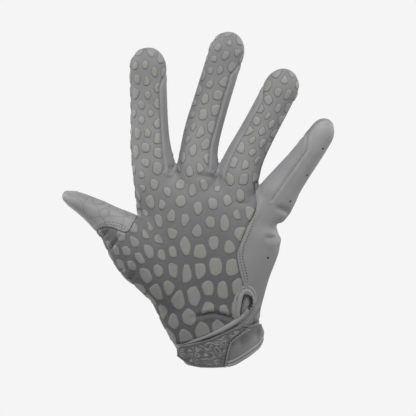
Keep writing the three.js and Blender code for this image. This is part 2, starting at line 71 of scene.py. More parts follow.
# Girths along a digit: share of its length, and width and depth as shares of its own
FINGER_GIRTH_SHARES = [
    (0, 1.18, 1.14), (0.3, 1.2, 1.16), (0.4, 1.11, 1.1), (0.5, 1.04, 1.05), (0.62, 1, 1),
    (0.86, 0.98, 0.9), (1, 0.92, 0.8),
]
LITTLE_GIRTH_SHARES = [
    (0, 1.25, 1.2), (0.28, 1.26, 1.18), (0.42, 1.1, 1.08), (0.56, 1.02, 1), (0.75, 0.95, 0.95),
    (0.88, 0.86, 0.86), (1, 0.76, 0.78),
]
THUMB_GIRTH_SHARES = [
    (0, 0.8, 0.75), (0.12, 1.4, 1.2), (0.3, 1.82, 1.5), (0.42, 2.2, 1.5), (0.52, 2.15, 1.42),
    (0.62, 1.82, 1.25), (0.72, 1.36, 1.08), (0.8, 1.05, 1), (0.9, 0.84, 0.9), (1, 0.66, 0.75),
]
# Each digit: root shares, leans, curls, bend shares, length, width, depth, tip length, crease height,
# girth, and the seam or strip on its left and right side as polar angles
DIGITS = {
    "index": dict(root=(-0.418, -0.237, 0.757), lean=(-7, -1.5), curl=(1, 13), bend=(0.2, 0.45),
                  length=116, width=24, depth=20.5, tip=13, crease=34,
                  girth=FINGER_GIRTH_SHARES, left=(-100, -100), right=(40, 118)),
    "middle": dict(root=(-0.161, -0.245, 0.757), lean=(0, 17), curl=(2, 15), bend=(0.22, 0.48),
                   length=129.5, width=23.3, depth=20.5, tip=13.5, crease=36,
                   girth=FINGER_GIRTH_SHARES, left=(-118, -76), right=(40, 118)),
    "ring": dict(root=(0.056, -0.237, 0.757), lean=(12, 28), curl=(2, 17), bend=(0.22, 0.48),
                 length=110, width=22.8, depth=19.5, tip=13, crease=30,
                 girth=FINGER_GIRTH_SHARES, left=(-118, -42), right=(76, 118)),
    "little": dict(root=(0.245, -0.2, 0.72), lean=(32, 35.5), curl=(2, 16), bend=(0.22, 0.48),
                   length=87, width=20.8, depth=18, tip=11.5, crease=21.5,
                   girth=LITTLE_GIRTH_SHARES, left=(-115, -6), right=(100, 100)),
    "thumb": dict(root=(-0.204, -0.29, 0.18), lean=(-36, -63), curl=(3, 9), bend=(0.48, 0.78),
                  length=120, width=17.2, depth=21.5, tip=9, crease=70,
                  girth=THUMB_GIRTH_SHARES, left=(-96, -96), right=(92, 128)),
}
# Palm sections: height, centre across and forward, half width and depth, hollow, lean and pitch
PALM_ROW_SHARES = [
    (0, 0, 0, 0.26, 0.5, 0, -12, 18),
    (CUFF_HEIGHT / PALM_LENGTH, -0.028, -0.105, 0.303, 0.49, 0.1, -15, 16),
    (0.261, -0.062, -0.21, 0.362, 0.474, 0.6, -9, 9),
    (0.432, -0.082, -0.25, 0.427, 0.455, 1, -3, 4),
    (0.613, -0.077, -0.25, 0.482, 0.425, 1, 3, 0),
    (0.69, -0.075, -0.245, 0.502, 0.412, 0.8, 5, 0),
    (0.775, -0.092, -0.24, 0.459, 0.395, 0.5, 8, 0),
    (0.919, -0.112, -0.237, 0.43, 0.35, 0.1, 11, 0),
    (1, -0.12, -0.237, 0.36, 0.22, 0, 12, 0),
]
# The keyhole vent, the flap's edge that runs down from it and the cuff's piping, as pixels
KEYHOLE = [
    (246, 293.7), (243.6, 297), (242.4, 301.8), (241.4, 306.5), (240.3, 312.8), (241.2, 316.3), (244.7, 313),
    (247.6, 309.1), (249.9, 305.8), (251.2, 301.4), (250.5, 297.4), (248.6, 294.6),
]
PIPING_LINE = [
    (251.6, 303), (249.6, 307.6), (246.6, 312.2), (242.3, 316.8), (237, 321), (231.7, 324.6), (226, 328),
    (220, 331.2), (213.5, 334), (206, 337), (198, 339.9), (190, 342.4), (180, 345),
]
# Seams of the thumb saddle and the side panel, as shares of the palm's breadth and length
THUMB_SEAM_SHARES = [
    (-0.4, 0.15), (-0.43, 0.29), (-0.485, 0.385), (-0.53, 0.53), (-0.55, 0.635), (-0.545, 0.86),
]
SIDE_SEAM_SHARES = [
    (0.175, 0.1), (0.16, 0.24), (0.165, 0.346), (0.133, 0.46), (0.115, 0.548), (0.128, 0.605),
    (0.18, 0.72), (0.243, 0.835), (0.232, 0.97),
]
# Hem of the thumb's overlay and its edge up to the web, as pixels
OVERLAY_HEM = [
    (84, 239), (90, 234.8), (95.7, 230.9), (100.3, 227.9), (105.4, 226.2), (112.5, 227), (118, 229.2),
    (123, 231.4), (127.4, 231.6), (130.2, 228.6), (132.8, 223.2), (136.2, 217.5), (140, 211.5),
]

# Camera, at the picture's angle: the picture's middle, seen along +Y through a long lens
CAMERA_DISTANCE = 4000.0
MEAN_PLANE = -12.0
SENSOR = 36.0


def from_pixel(pixel):
    """The place across and up, in millimetres, of a pixel of the picture"""
    return (pixel[0] - ORIGIN_PIXEL[0]) * PIXEL, (ORIGIN_PIXEL[1] - pixel[1]) * PIXEL


def make_camera():
    across, up = from_pixel((PICTURE / 2, PICTURE / 2))
    camera = bpy.data.objects.new("camera", bpy.data.cameras.new("camera"))
    camera.data.sensor_width = SENSOR
    camera.data.lens = SENSOR * (CAMERA_DISTANCE + MEAN_PLANE) / (PICTURE * PIXEL)
    camera.data.clip_end = 10 * CAMERA_DISTANCE * METRE
    camera.location = (across * METRE, -CAMERA_DISTANCE * METRE, up * METRE)
    camera.rotation_euler = (math.radians(90), 0, 0)
    bpy.context.scene.collection.objects.link(camera)
    bpy.context.scene.camera = camera


make_camera()


# Limbs: sections along a path

def smooth_rows(keys, rows, at):
    """Rows read at new keys by a smooth curve that doesn't overshoot, straight beyond the ends"""
    keys = np.asarray(keys, float)
    rows = np.asarray(rows, float)
    at = np.asarray(at, float)
    gaps = np.diff(keys)[:, None]
    slopes = np.diff(rows, axis=0) / gaps
    before, after = slopes[:-1], slopes[1:]
    first, second = 2 * gaps[1:] + gaps[:-1], gaps[1:] + 2 * gaps[:-1]
    with np.errstate(divide="ignore", invalid="ignore"):
        mean = (first + second) / (first / before + second / after)
    tangents = np.vstack([slopes[:1], np.where(before * after > 0, mean, 0), slopes[-1:]])
    i = np.clip(np.searchsorted(keys, at, side="right") - 1, 0, len(gaps) - 1)
    t = (at - keys[i]) / gaps[i, 0]
    s = np.clip(t, 0, 1)[:, None]
    low, high = rows[i], rows[i + 1]
    rise, fall = tangents[i] * gaps[i], tangents[i + 1] * gaps[i]
    curve = (low * (1 + 2 * s) * (1 - s) ** 2 + rise * s * (1 - s) ** 2
             + high * s * s * (3 - 2 * s) + fall * s * s * (s - 1))
    return curve + np.minimum(t, 0)[:, None] * rise + np.maximum(t - 1, 0)[:, None] * fall


def smoothstep(low, high, value):
    t = np.clip((np.asarray(value, float) - low) / (high - low), 0, 1)
    return t * t * (3 - 2 * t)


def axes_at(lean, pitch):
    """The axes of sections that lean to +X and pitch to the palm side"""
    lean, pitch = np.radians(lean), np.radians(pitch)
    nothing = np.zeros_like(lean)
    across = np.stack([np.cos(lean), nothing, -np.sin(lean)], -1)
    along = np.stack([np.sin(lean) * np.cos(pitch), -np.sin(pitch), np.cos(lean) * np.cos(pitch)], -1)
    return across, along, np.cross(along, across)


# Points handled at a time, how much a section's nearness in space counts beside its level, and how far
# along the limb a point may lie from its section
BATCH, NEARNESS, SECTION_SLACK = 3000, 0.1, 1.5


class Limb:
    """The palm or a digit: arrays of its sections, one row for each height"""

    def __init__(self, height, centre, lean, pitch, half_width, half_depth, hollow, dome, roundness):
        self.height, self.centre = height, centre
        self.across, self.along, self.back = axes_at(lean, pitch)
        self.sizes = np.stack([half_width, half_depth, hollow, dome], -1)
        self.roundness = roundness

    def at(self, heights):
        """Centre, axes and sizes at any heights"""
        def read(rows):
            return np.stack([np.interp(heights, self.height, rows[:, k]) for k in range(rows.shape[1])], -1)
        over = heights - np.clip(heights, self.height[0], self.height[-1])
        along = read(self.along)
        centre = read(self.centre) + along * over[..., None]
        return centre, read(self.across), along, read(self.back), read(self.sizes)

    def surface(self, heights, angles, offset=0.0):
        """Points of the limb's surface, moved out by an offset; an angle is 0 at the palm side"""
        heights, angles, offset = np.broadcast_arrays(
            np.asarray(heights, float), np.asarray(angles, float), np.asarray(offset, float))
        centre, across, _, back, sizes = self.at(heights)
        sine, cosine = np.sin(angles), np.cos(angles)
        side = np.sign(sine) * np.abs(sine) ** (2 / self.roundness)
        front = np.sign(cosine) * np.abs(cosine) ** (2 / self.roundness)
        hollow = np.where(front > 0, sizes[..., 2] * (1 - side * side) ** 2, 0)
        width = (sizes[..., 0] + offset) * sizes[..., 3]
        depth = (sizes[..., 1] + offset) * sizes[..., 3]
        return centre + across * (side * width)[..., None] + back * (hollow - front * depth)[..., None]

    def coordinates(self, points):
        """For each point its height, its place across and back in its section, and its rough distance"""
        found = np.empty((len(points), 4))
        for rows in np.array_split(np.arange(len(points)), max(1, len(points) // BATCH)):
            apart = points[rows][:, None, :] - self.centre[None]
            level = np.einsum("psk,sk->ps", apart, self.along)
            nearest = (np.abs(level) + NEARNESS * np.linalg.norm(apart, axis=2)).argmin(1)
            pick = np.arange(len(rows))
            rest = level[pick, nearest]
            place = apart[pick, nearest]
            u = (place * self.across[nearest]).sum(1)
            v = (place * self.back[nearest]).sum(1)
            height = self.height[nearest] + rest
            width = np.interp(height, self.height, self.sizes[:, 0])
            depth = np.interp(height, self.height, self.sizes[:, 1])
            power = self.roundness
            share = (np.abs(u / width) ** power + np.abs(v / depth) ** power) ** (1 / power)
            distance = (1 - 1 / np.maximum(share, 0.05)) * np.hypot(u, v)
            over = np.maximum(np.abs(rest) - SECTION_SLACK, 0)
            found[rows] = np.stack([height, u, v, np.hypot(np.maximum(distance, 0), over) * (over > 0)
                                    + distance * (over <= 0)], -1)
        return found


def palm_limb():
    rows = np.array(PALM_ROW_SHARES, float)
    height = np.arange(-BELOW_HEM, PALM_LENGTH + 0.5, 1.0)
    across, forward, width, depth, hollow, lean, pitch = smooth_rows(
        rows[:, 0] * PALM_LENGTH, rows[:, 1:], height).T
    centre = np.stack([across * PALM_BREADTH, forward * PALM_DEPTH, height], -1)
    return Limb(height, centre, lean, pitch, width * PALM_BREADTH, depth * PALM_DEPTH,
                hollow * PALM_HOLLOW, np.ones_like(height), PALM_ROUNDNESS)


PATH_STEPS = 120


def digit_limb(digit):
    length = digit["length"]
    shares = np.arange(PATH_STEPS + 1) / PATH_STEPS
    turn = smoothstep(*digit["bend"], shares)
    lean = digit["lean"][0] + (digit["lean"][1] - digit["lean"][0]) * turn
    curl = digit["curl"][0] + (digit["curl"][1] - digit["curl"][0]) * shares
    along = axes_at(lean, curl)[1]
    root = np.array(digit["root"]) * (PALM_BREADTH, PALM_DEPTH, PALM_LENGTH)
    centre = root + np.vstack([np.zeros(3), np.cumsum(along[:-1], axis=0)]) * (length / PATH_STEPS)
    girth = np.array(digit["girth"], float)
    width, depth = smooth_rows(girth[:, 0], girth[:, 1:], shares).T
    straight = length - digit["tip"]
    into = np.clip((shares * length - straight) / digit["tip"], 0, 1)
    dome = np.sqrt(1 - into ** 2)
    return Limb(shares * length, centre, lean, curl, width * digit["width"] / 2,
                depth * digit["depth"] / 2, np.zeros_like(shares), dome, DIGIT_ROUNDNESS)


palm = palm_limb()
digits = {name: digit_limb(digit) for name, digit in DIGITS.items()}
LIMBS = {"palm": palm, **digits}
LIMB_NAMES = list(LIMBS)


# The search for a pixel's place: its rounds, the nudges that give its slope, its longest steps and the
# furthest angle round the palm that the picture shows, each as millimetres up and radians round
SEARCH_ROUNDS = 40
NUDGES, LONGEST_STEPS = (0.01, 0.001), (4.0, 0.15)
SIDEMOST = 1.62
# The steps up and round that give directions on the palm's surface
STEP_UP, STEP_ROUND = 0.5, 0.02


def palm_places(pixels, offset=0.0):
    """Height and angle on the palm side of the palm's surface, as seen at pixels"""
    wanted = np.stack(from_pixel(np.asarray(pixels, float).T), -1)
    places = np.stack([wanted[:, 1], np.zeros(len(wanted))], -1)
    for _ in range(SEARCH_ROUNDS):
        here = palm.surface(*places.T, offset)
        slope = np.stack([(palm.surface(*(places + np.eye(2)[k] * NUDGES[k]).T, offset) - here)[:, [0, 2]]
                          / NUDGES[k] for k in (0, 1)], -1)
        slope += np.eye(2) * 1e-6
        step = np.linalg.solve(slope, (wanted - here[:, [0, 2]])[:, :, None])[:, :, 0]
        places += np.clip(step, np.negative(LONGEST_STEPS), LONGEST_STEPS)
        places[:, 1] = np.clip(places[:, 1], -SIDEMOST, SIDEMOST)
    return places


def palm_normals(places):
    """Outward directions of the palm's surface at heights and angles"""
    heights, angles = places.T
    along = palm.surface(heights + STEP_UP, angles) - palm.surface(heights - STEP_UP, angles)
    round_it = palm.surface(heights, angles + STEP_ROUND) - palm.surface(heights, angles - STEP_ROUND)
    normals = np.cross(round_it, along)
    return normals / np.linalg.norm(normals, axis=1, keepdims=True)


# Meshes as arrays

def ring_faces(rings, count, first=0):
    """Quads between closed rings of points, and the two end caps"""
    faces = []
    for ring in range(rings - 1):
        low = first + ring * count
        for i in range(count):
            j = (i + 1) % count
            faces.append((low + i, low + j, low + count + j, low + count + i))
    last = first + (rings - 1) * count
    faces.append(tuple(first + i for i in reversed(range(count))))
    faces.append(tuple(last + i for i in range(count)))
    return faces


def link(name, points, faces, scale=METRE):
    mesh = bpy.data.meshes.new(name)
    mesh.from_pydata((np.asarray(points, float) * scale).tolist(), [], faces)
    piece = bpy.data.objects.new(name, mesh)
    bpy.context.scene.collection.objects.link(piece)
    return piece


def triangles_of(mesh):
    mesh.calc_loop_triangles()
    faces = np.empty(len(mesh.loop_triangles) * 3, np.int32)
    mesh.loop_triangles.foreach_get("vertices", faces)
    points = np.empty(len(mesh.vertices) * 3, np.float32)
    mesh.vertices.foreach_get("co", points)
    return points.reshape(-1, 3).astype(float), faces.reshape(-1, 3)


# The joined skin: its voxels, the points of a ring, the gap between rings, and the turns from a digit's
# side to its tip at which the tip's rings lie
VOXEL = 0.95
RING_POINTS = 72
RING_STEP = 1.5
DOME_TURNS = [8, 16, 24, 32, 40, 48, 56, 63, 70, 76, 81, 85, 88]


def joined_limbs():
    """One closed skin round all the limbs"""
    points, faces, first = [], [], 0
    angles = np.arange(RING_POINTS) / RING_POINTS * 2 * math.pi
    for name, limb in LIMBS.items():
        heights = limb.height
        if name != "palm":
            tip = DIGITS[name]["tip"]
            straight = DIGITS[name]["length"] - tip
            dome = straight + tip * np.sin(np.radians(DOME_TURNS))
            heights = np.concatenate([np.arange(0, straight, RING_STEP), dome])
        rings = limb.surface(heights[:, None], angles[None])
        points.append(rings.reshape(-1, 3))
        faces += ring_faces(len(heights), RING_POINTS, first)
        first += len(heights) * RING_POINTS
    solid = link("skin", np.vstack(points), faces, 1.0)
    remesh = solid.modifiers.new("remesh", "REMESH")
    remesh.mode = "VOXEL"
    remesh.voxel_size = VOXEL
    made = solid.evaluated_get(bpy.context.evaluated_depsgraph_get()).to_mesh()
    points, faces = triangles_of(made)
    bpy.data.objects.remove(solid)
    return points, faces


def sides_of(faces):
    """The directed sides of triangles"""
    return np.vstack([faces[:, [0, 1]], faces[:, [1, 2]], faces[:, [2, 0]]])


def edges_of(faces):
    return np.unique(np.sort(sides_of(faces), axis=1), axis=0)


def smoothed(points, faces, rounds, weight=None, shrink=0.5, swell=-0.52):
    """Evened by its neighbours; a swelling step after each shrinking one keeps the volume"""
    edges = edges_of(faces)
    count = len(points)
    degree = np.bincount(edges.ravel(), minlength=count)[:, None]
    weight = np.ones((count, 1)) if weight is None else weight[:, None]
    for _ in range(rounds):
        for factor in (shrink, swell):
            total = np.stack([
                np.bincount(edges[:, 0], points[edges[:, 1], k], count)
                + np.bincount(edges[:, 1], points[edges[:, 0], k], count) for k in range(3)], -1)
            points = points + factor * weight * (total / np.maximum(degree, 1) - points)
    return points


def normals_of(points, faces):
    corners = points[faces]
    face = np.cross(corners[:, 1] - corners[:, 0], corners[:, 2] - corners[:, 0])
    total = np.stack([sum(np.bincount(faces[:, c], face[:, k], len(points)) for c in range(3))
                      for k in range(3)], -1)
    return total / np.maximum(np.linalg.norm(total, axis=1, keepdims=True), 1e-12)


def inside(flat, outline):
    """Whether places of the front view lie in a closed outline"""
    found = np.zeros(len(flat), bool)
    for (x0, z0), (x1, z1) in zip(outline, np.roll(outline, -1, axis=0)):
        if z0 != z1:
            crosses = (z0 > flat[:, 1]) != (z1 > flat[:, 1])
            found ^= crosses & (flat[:, 0] < x0 + (flat[:, 1] - z0) * (x1 - x0) / (z1 - z0))
    return found


def outline_field(points, outline):
    """Distance in front view to a closed outline, positive inside it"""
    distance = np.abs(polyline_field(points, np.vstack([outline, outline[:1]]), False)[0])
    return np.where(inside(points[:, [0, 2]], outline), distance, -distance)


def polyline_field(points, line, endless=True):
    """Signed distance in front view to a polyline, positive on its left-hand side going along it, and
    the share of its length at the nearest place"""
    line = np.asarray(line, float)
    flat = points[:, [0, 2]]
    best = np.full(len(points), 1e9)
    sign = np.ones(len(points))
    share = np.zeros(len(points))
    lengths = np.linalg.norm(np.diff(line, axis=0), axis=1)
    run = np.concatenate([[0], np.cumsum(lengths)])
    for i, length in enumerate(lengths):
        step = (line[i + 1] - line[i]) / length
        rel = flat - line[i]
        t = rel @ step
        low = -1e9 if endless and i == 0 else 0
        high = 1e9 if endless and i == len(lengths) - 1 else length
        near = rel - np.clip(t, low, high)[:, None] * step
        distance = np.linalg.norm(near, axis=1)
        closer = distance < best
        best = np.where(closer, distance, best)
        sign = np.where(closer, np.sign(step[0] * rel[:, 1] - step[1] * rel[:, 0]), sign)
        share = np.where(closer, (run[i] + t) / run[-1], share)
    return best * np.where(sign == 0, 1, sign), share


def curve_through(points, steps=10):
    """A smooth line through points, by Catmull-Rom"""
    points = [np.asarray(p, float) for p in points]
    points = [2 * points[0] - points[1], *points, 2 * points[-1] - points[-2]]
    made = []
    for a, b, c, d in zip(points, points[1:], points[2:], points[3:]):
        for t in np.arange(steps) / steps:
            made.append(0.5 * (2 * b + (c - a) * t + (2 * a - 5 * b + 4 * c - d) * t * t
                               + (3 * b - a - 3 * c + d) * t ** 3))
    made.append(points[-2])
    return np.array(made)


def pixel_curve(pixels, steps=10):
    """A smooth line in front view through pixels"""
    return curve_through([from_pixel(pixel) for pixel in pixels], steps)


# The skin: all limbs in one, with its places in each limb

# A cut this close to a corner, as a share of an edge, moves the corner onto the line
SNAP = 0.12


def table_of(points):
    """Rows of points with their coordinates in every limb"""
    return np.hstack([points] + [limb.coordinates(points) for limb in LIMBS.values()])


class Skin:
    """The glove's outer surface. Each row of the table holds a point and its coordinates in every limb"""

    def __init__(self, points, faces):
        self.faces = faces
        self.table = table_of(points)

    @property
    def points(self):
        return self.table[:, :3]

    def cut(self, values, where):
        """Splits triangles along the zero line of a value, among the points of where"""
        values = np.array(values, float)
        edges = edges_of(self.faces[where[self.faces].all(1)])
        a, b = edges.T
        crossing = values[a] * values[b] < 0
        a, b = a[crossing], b[crossing]
        t = values[a] / (values[a] - values[b])
        low, high = t < SNAP, t > 1 - SNAP
        moved = np.concatenate([a[low], b[high]])
        target = np.vstack([
            self.table[a[rows]] + t[rows, None] * (self.table[b[rows]] - self.table[a[rows]])
            for rows in (low, high)])
        order = np.argsort(-np.concatenate([t[low], 1 - t[high]]))
        self.table[moved[order]] = target[order]
        values[moved] = 0
        crossing = values[a] * values[b] < 0
        a, b = a[crossing], b[crossing]
        t = (values[a] / (values[a] - values[b]))[:, None]
        first = len(self.table)
        self.table = np.vstack([self.table, self.table[a] + t * (self.table[b] - self.table[a])])
        keys = a.astype(np.int64) * first + b
        order = np.argsort(keys)
        keys = keys[order]

        def middle(i, j):
            key = np.minimum(i, j).astype(np.int64) * first + np.maximum(i, j)
            if not len(keys):
                return np.full(len(i), -1)
            place = np.clip(np.searchsorted(keys, key), 0, len(keys) - 1)
            return np.where(keys[place] == key, first + order[place], -1)

        f = self.faces
        m = np.stack([middle(f[:, k], f[:, (k + 1) % 3]) for k in range(3)], 1)
        split = m >= 0
        count = split.sum(1)
        made = [f[count == 0]]
        for k in range(3):
            rows = (count == 1) & split[:, k]
            i, j, o, mid = f[rows, k], f[rows, (k + 1) % 3], f[rows, (k + 2) % 3], m[rows, k]
            made += [np.stack([i, mid, o], 1), np.stack([mid, j, o], 1)]
            rows = (count == 2) & ~split[:, k]
            i, j, o = f[rows, k], f[rows, (k + 1) % 3], f[rows, (k + 2) % 3]
            mj, mi = m[rows, (k + 1) % 3], m[rows, (k + 2) % 3]
            made += [np.stack([o, mi, mj], 1), np.stack([i, j, mj], 1), np.stack([i, mj, mi], 1)]
        rows = count == 3
        i, j, o = f[rows].T
        mi, mj, mo = m[rows].T
        made += [np.stack([i, mi, mo], 1), np.stack([mi, j, mj], 1), np.stack([mo, mj, o], 1),
                 np.stack([mi, mj, mo], 1)]
        self.faces = np.vstack(made).astype(np.int32)


def limb_rows(table, name):
    """Height, place across, place back and distance in a limb"""
    first = 3 + 4 * LIMB_NAMES.index(name)
    return table[:, first:first + 4].T


def polar(table, name):
    """Angle in a limb's section, 0 at the palm side, and the distance from its middle"""
    _, u, v, _ = limb_rows(table, name)
    return np.degrees(np.arctan2(u, -v)), np.hypot(u, v)


# Cosine of the widest angle from a line at which a place still counts as on the line's side of the limb
SAME_SIDE = 0.25


def angle_field(table, name, edge):
    """Signed distance round a limb from the line at a polar angle, and whether it's on that side"""
    angle, radius = polar(table, name)
    away = np.radians(angle - edge)
    return radius * np.sin(away), np.cos(away) > SAME_SIDE


# Fields that part the skin into its pieces

# How far outside its limb the skin may lie, how far the cuts reach from their lines and where they start
# over a digit's crease, how much of the limb by a joint counts, and how far a strip takes to close at the tip
REACH = 1.7
CUT_BAND, SLEEVE_BAND = 4, 3.5
SLEEVE_START = -1.5
LIMB_BAND = 5
STRIP_CLOSING = 14
NEIGHBOURS = [("index", "middle"), ("middle", "ring"), ("ring", "little"), ("index", "thumb")]
thumb_seam = curve_through(np.array(THUMB_SEAM_SHARES) * (PALM_BREADTH, PALM_LENGTH))
side_seam = curve_through(np.array(SIDE_SEAM_SHARES) * (PALM_BREADTH, PALM_LENGTH))
overlay_hem = pixel_curve(OVERLAY_HEM)
keyhole = pixel_curve(KEYHOLE + KEYHOLE[:1], 6)[:-1]
piping_front = pixel_curve(PIPING_LINE, 6)
# Where the flap ends across, how high the keyhole reaches, and the plane in front of which it is cut
FLAP_END = from_pixel((237, 321.6))[0]
KEYHOLE_TOP = 27.0
PALM_SIDE = -12.0


def keyhole_field(points):
    """Distance inside the keyhole's outline, in front view"""
    return np.where(points[:, 1] < PALM_SIDE, outline_field(points, keyhole), -KEYHOLE_TOP)


def owner_of(table):
    """The digit whose stall each row belongs to, as a place in the limb names, or 0 for the hand"""
    owner = np.zeros(len(table), int)
    best = np.full(len(table), REACH)
    for name in DIGITS:
        height, _, _, distance = limb_rows(table, name)
        mine = (height > DIGITS[name]["crease"]) & (distance < best)
        owner[mine] = LIMB_NAMES.index(name)
        best = np.where(mine, distance, best)
    return owner


def strip_edge(name, side, k, height):
    """A strip edge's polar angle, closing on the strip's middle towards the tip"""
    edges = DIGITS[name][side]
    end = DIGITS[name]["length"] - DIGITS[name]["tip"]
    return edges[k] + (sum(edges) / 2 - edges[k]) * smoothstep(end - STRIP_CLOSING, end, height)


def beside(field, band=CUT_BAND):
    """Rows near the zero line of a field"""
    return np.abs(field) < band


def part_skin(skin):
    """Cuts the skin along every seam and crease"""
    for name in DIGITS:
        height, _, _, distance = limb_rows(skin.table, name)
        above = height - DIGITS[name]["crease"]
        skin.cut(above, beside(above) & (distance < LIMB_BAND))
        height, _, _, distance = limb_rows(skin.table, name)
        above = height - DIGITS[name]["crease"]
        skin.cut(distance - REACH, (above > SLEEVE_START) & beside(distance - REACH, SLEEVE_BAND))
    for one, other in NEIGHBOURS:
        h_one, _, _, d_one = limb_rows(skin.table, one)
        h_other, _, _, d_other = limb_rows(skin.table, other)
        near = ((h_one > DIGITS[one]["crease"] - 2) & (h_other > DIGITS[other]["crease"] - 2)
                & (d_one < REACH + 2) & (d_other < REACH + 2))
        skin.cut(d_one - d_other, near)
    for name in DIGITS:
        for side in ("left", "right"):
            edges = DIGITS[name][side]
            for k in range(1 if edges[0] == edges[1] else 2):
                mine = owner_of(skin.table) == LIMB_NAMES.index(name)
                height = limb_rows(skin.table, name)[0]
                field, facing = angle_field(skin.table, name, strip_edge(name, side, k, height))
                if k == 1:
                    mine &= height < DIGITS[name]["length"] - DIGITS[name]["tip"] - 1
                skin.cut(field, mine & facing & beside(field))
    for edge in (-PALM_SEAM, PALM_SEAM):
        field, facing = angle_field(skin.table, "palm", edge)
        skin.cut(field, hand_rows(skin.table) & facing & beside(field))
    for level in (0.0, CUFF_HEIGHT):
        height = limb_rows(skin.table, "palm")[0] - level
        skin.cut(height, beside(height))
    for seam in (thumb_seam, side_seam, piping_front):
        field, _ = polyline_field(skin.points, seam)
        front = np.abs(polar(skin.table, "palm")[0]) < PALM_SEAM + 4
        skin.cut(field, hand_rows(skin.table) & front & beside(field))
    field = keyhole_field(skin.points)
    skin.cut(field, beside(field))
    field = skin.points[:, 0] - FLAP_END
    skin.cut(field, beside(field) & (limb_rows(skin.table, "palm")[0] < CUFF_HEIGHT + 8))
    field, _ = polyline_field(skin.points, overlay_hem)
    front = owner_of(skin.table) == LIMB_NAMES.index("thumb")
    front &= np.abs(polar(skin.table, "thumb")[0]) < 115
    skin.cut(field, front & beside(field))


def hand_rows(table):
    """Rows of the hand body, with the ring of points just over its borders with the digits"""
    rows = owner_of(table) == 0
    for name in DIGITS:
        height = limb_rows(table, name)[0]
        rows |= (owner_of(table) == LIMB_NAMES.index(name)) & (height < DIGITS[name]["crease"] + 2)
    return rows


def label_of(table):
    """The name of the piece that each row belongs to"""
    owner = owner_of(table)
    names = np.full(len(table), "palm_panel", dtype="<U20")
    height = limb_rows(table, "palm")[0]
    names[polyline_field(table, side_seam)[0] < 0] = "side_panel"
    names[polyline_field(table, thumb_seam)[0] > 0] = "thumb_saddle"
    back = np.abs(polar(table, "palm")[0]) > PALM_SEAM
    below, along = polyline_field(table, piping_front)
    flap = ~back & (table[:, 0] > FLAP_END) & (below > 0) & (height < KEYHOLE_TOP)
    names[flap] = "side_panel"
    names[back] = "back_panel"
    by_rim = back | (table[:, 0] > FLAP_END) | (along > 1)
    under_piping = np.where(by_rim, height < CUFF_HEIGHT, below > 0)
    names[under_piping & (height < KEYHOLE_TOP)] = "cuff_band"
    names[keyhole_field(table) > 0] = ""
    names[height < 0] = ""
    for name in DIGITS:
        mine = owner == LIMB_NAMES.index(name)
        height = limb_rows(table, name)[0]
        angle = polar(table, name)[0]
        low = [strip_edge(name, "left", k, height) for k in (0, 1)]
        high = [strip_edge(name, "right", k, height) for k in (0, 1)]
        names[mine] = f"{name}_back"
        names[mine & (angle > low[0]) & (angle < low[1])] = f"{name}_strip_left"
        names[mine & (angle > high[0]) & (angle < high[1])] = f"{name}_strip_right"
        names[mine & (angle >= low[1]) & (angle <= high[0])] = f"{name}_front"
    names[(names == "thumb_front") & (polyline_field(table, overlay_hem)[0] > 0)] = "thumb_overlay"
    return names


# Folds, as lines of pixels in the picture: depth, half width, and the height of the lips beside them
FOLDS = [
    ([(196, 316.5), (203, 314.6), (210, 312.8), (218, 313.6), (226, 315.2), (233, 318.5)], 1.7, 1.2, 0.6),
    ([(277, 207.5), (284, 210.5), (291, 214)], 1.5, 1.9, 0.4),
    ([(266, 238), (273, 237.5), (281, 235.5)], 1.5, 1.9, 0.4),
    ([(119.5, 236), (115.5, 242), (110.5, 249)], 1.3, 1.0, 0.4),
    ([(109.5, 229), (106, 233), (101, 239)], 0.9, 1.1, 0.3),
    ([(124, 267), (121, 271.5)], 1.0, 1.3, 0.3),
    ([(134, 273.5), (129.5, 280)], 0.9, 1.1, 0.3),
    ([(197, 176.3), (205, 176.8), (212.5, 177.4)], 0.7, 1.4, 0.2),
    ([(235, 202), (242, 203.4), (250, 204)], 0.8, 1.4, 0.3),
    ([(143, 214), (147, 224), (149, 234)], 0.5, 2.2, 0.0),
    ([(264, 294), (260.5, 300), (256, 306)], 0.6, 1.6, 0.3),
    ([(250.5, 309), (246.5, 316.5), (240.5, 323.2)], 0.9, 0.9, 0.4),
    ([(254, 307), (250, 315.5), (243.8, 324.5)], 0.7, 0.9, 0.3),
    ([(258.5, 311), (254.5, 318), (252.6, 328)], 1.0, 1.0, 0.3),
]
RIDGES = [
    ([(166, 171), (167.6, 174.6), (170.6, 175.8), (174.2, 173.4), (177.4, 167)], 0.8, 1.0),
    ([(208.5, 170), (211, 174.5), (214.5, 176), (219, 173.6), (223.6, 167)], 0.7, 1.0),
    ([(135.5, 228), (137, 243), (139, 257), (140.5, 268)], 0.9, 1.7),
    ([(134, 248), (131.5, 262), (128, 279)], 0.8, 1.7),
    ([(126, 262), (122, 275)], 0.5, 1.5),
]
# Dents and swellings of the outline: pixel, how far the surface moves, and over what radius
SWELLINGS = [
    ((171.6, 168.5), -1.2, 2.2),
    ((280, 226.3), -2.6, 2.4),
    ((288, 214), 0.6, 4.0),
    ((282, 242), -1.2, 5.0),
]
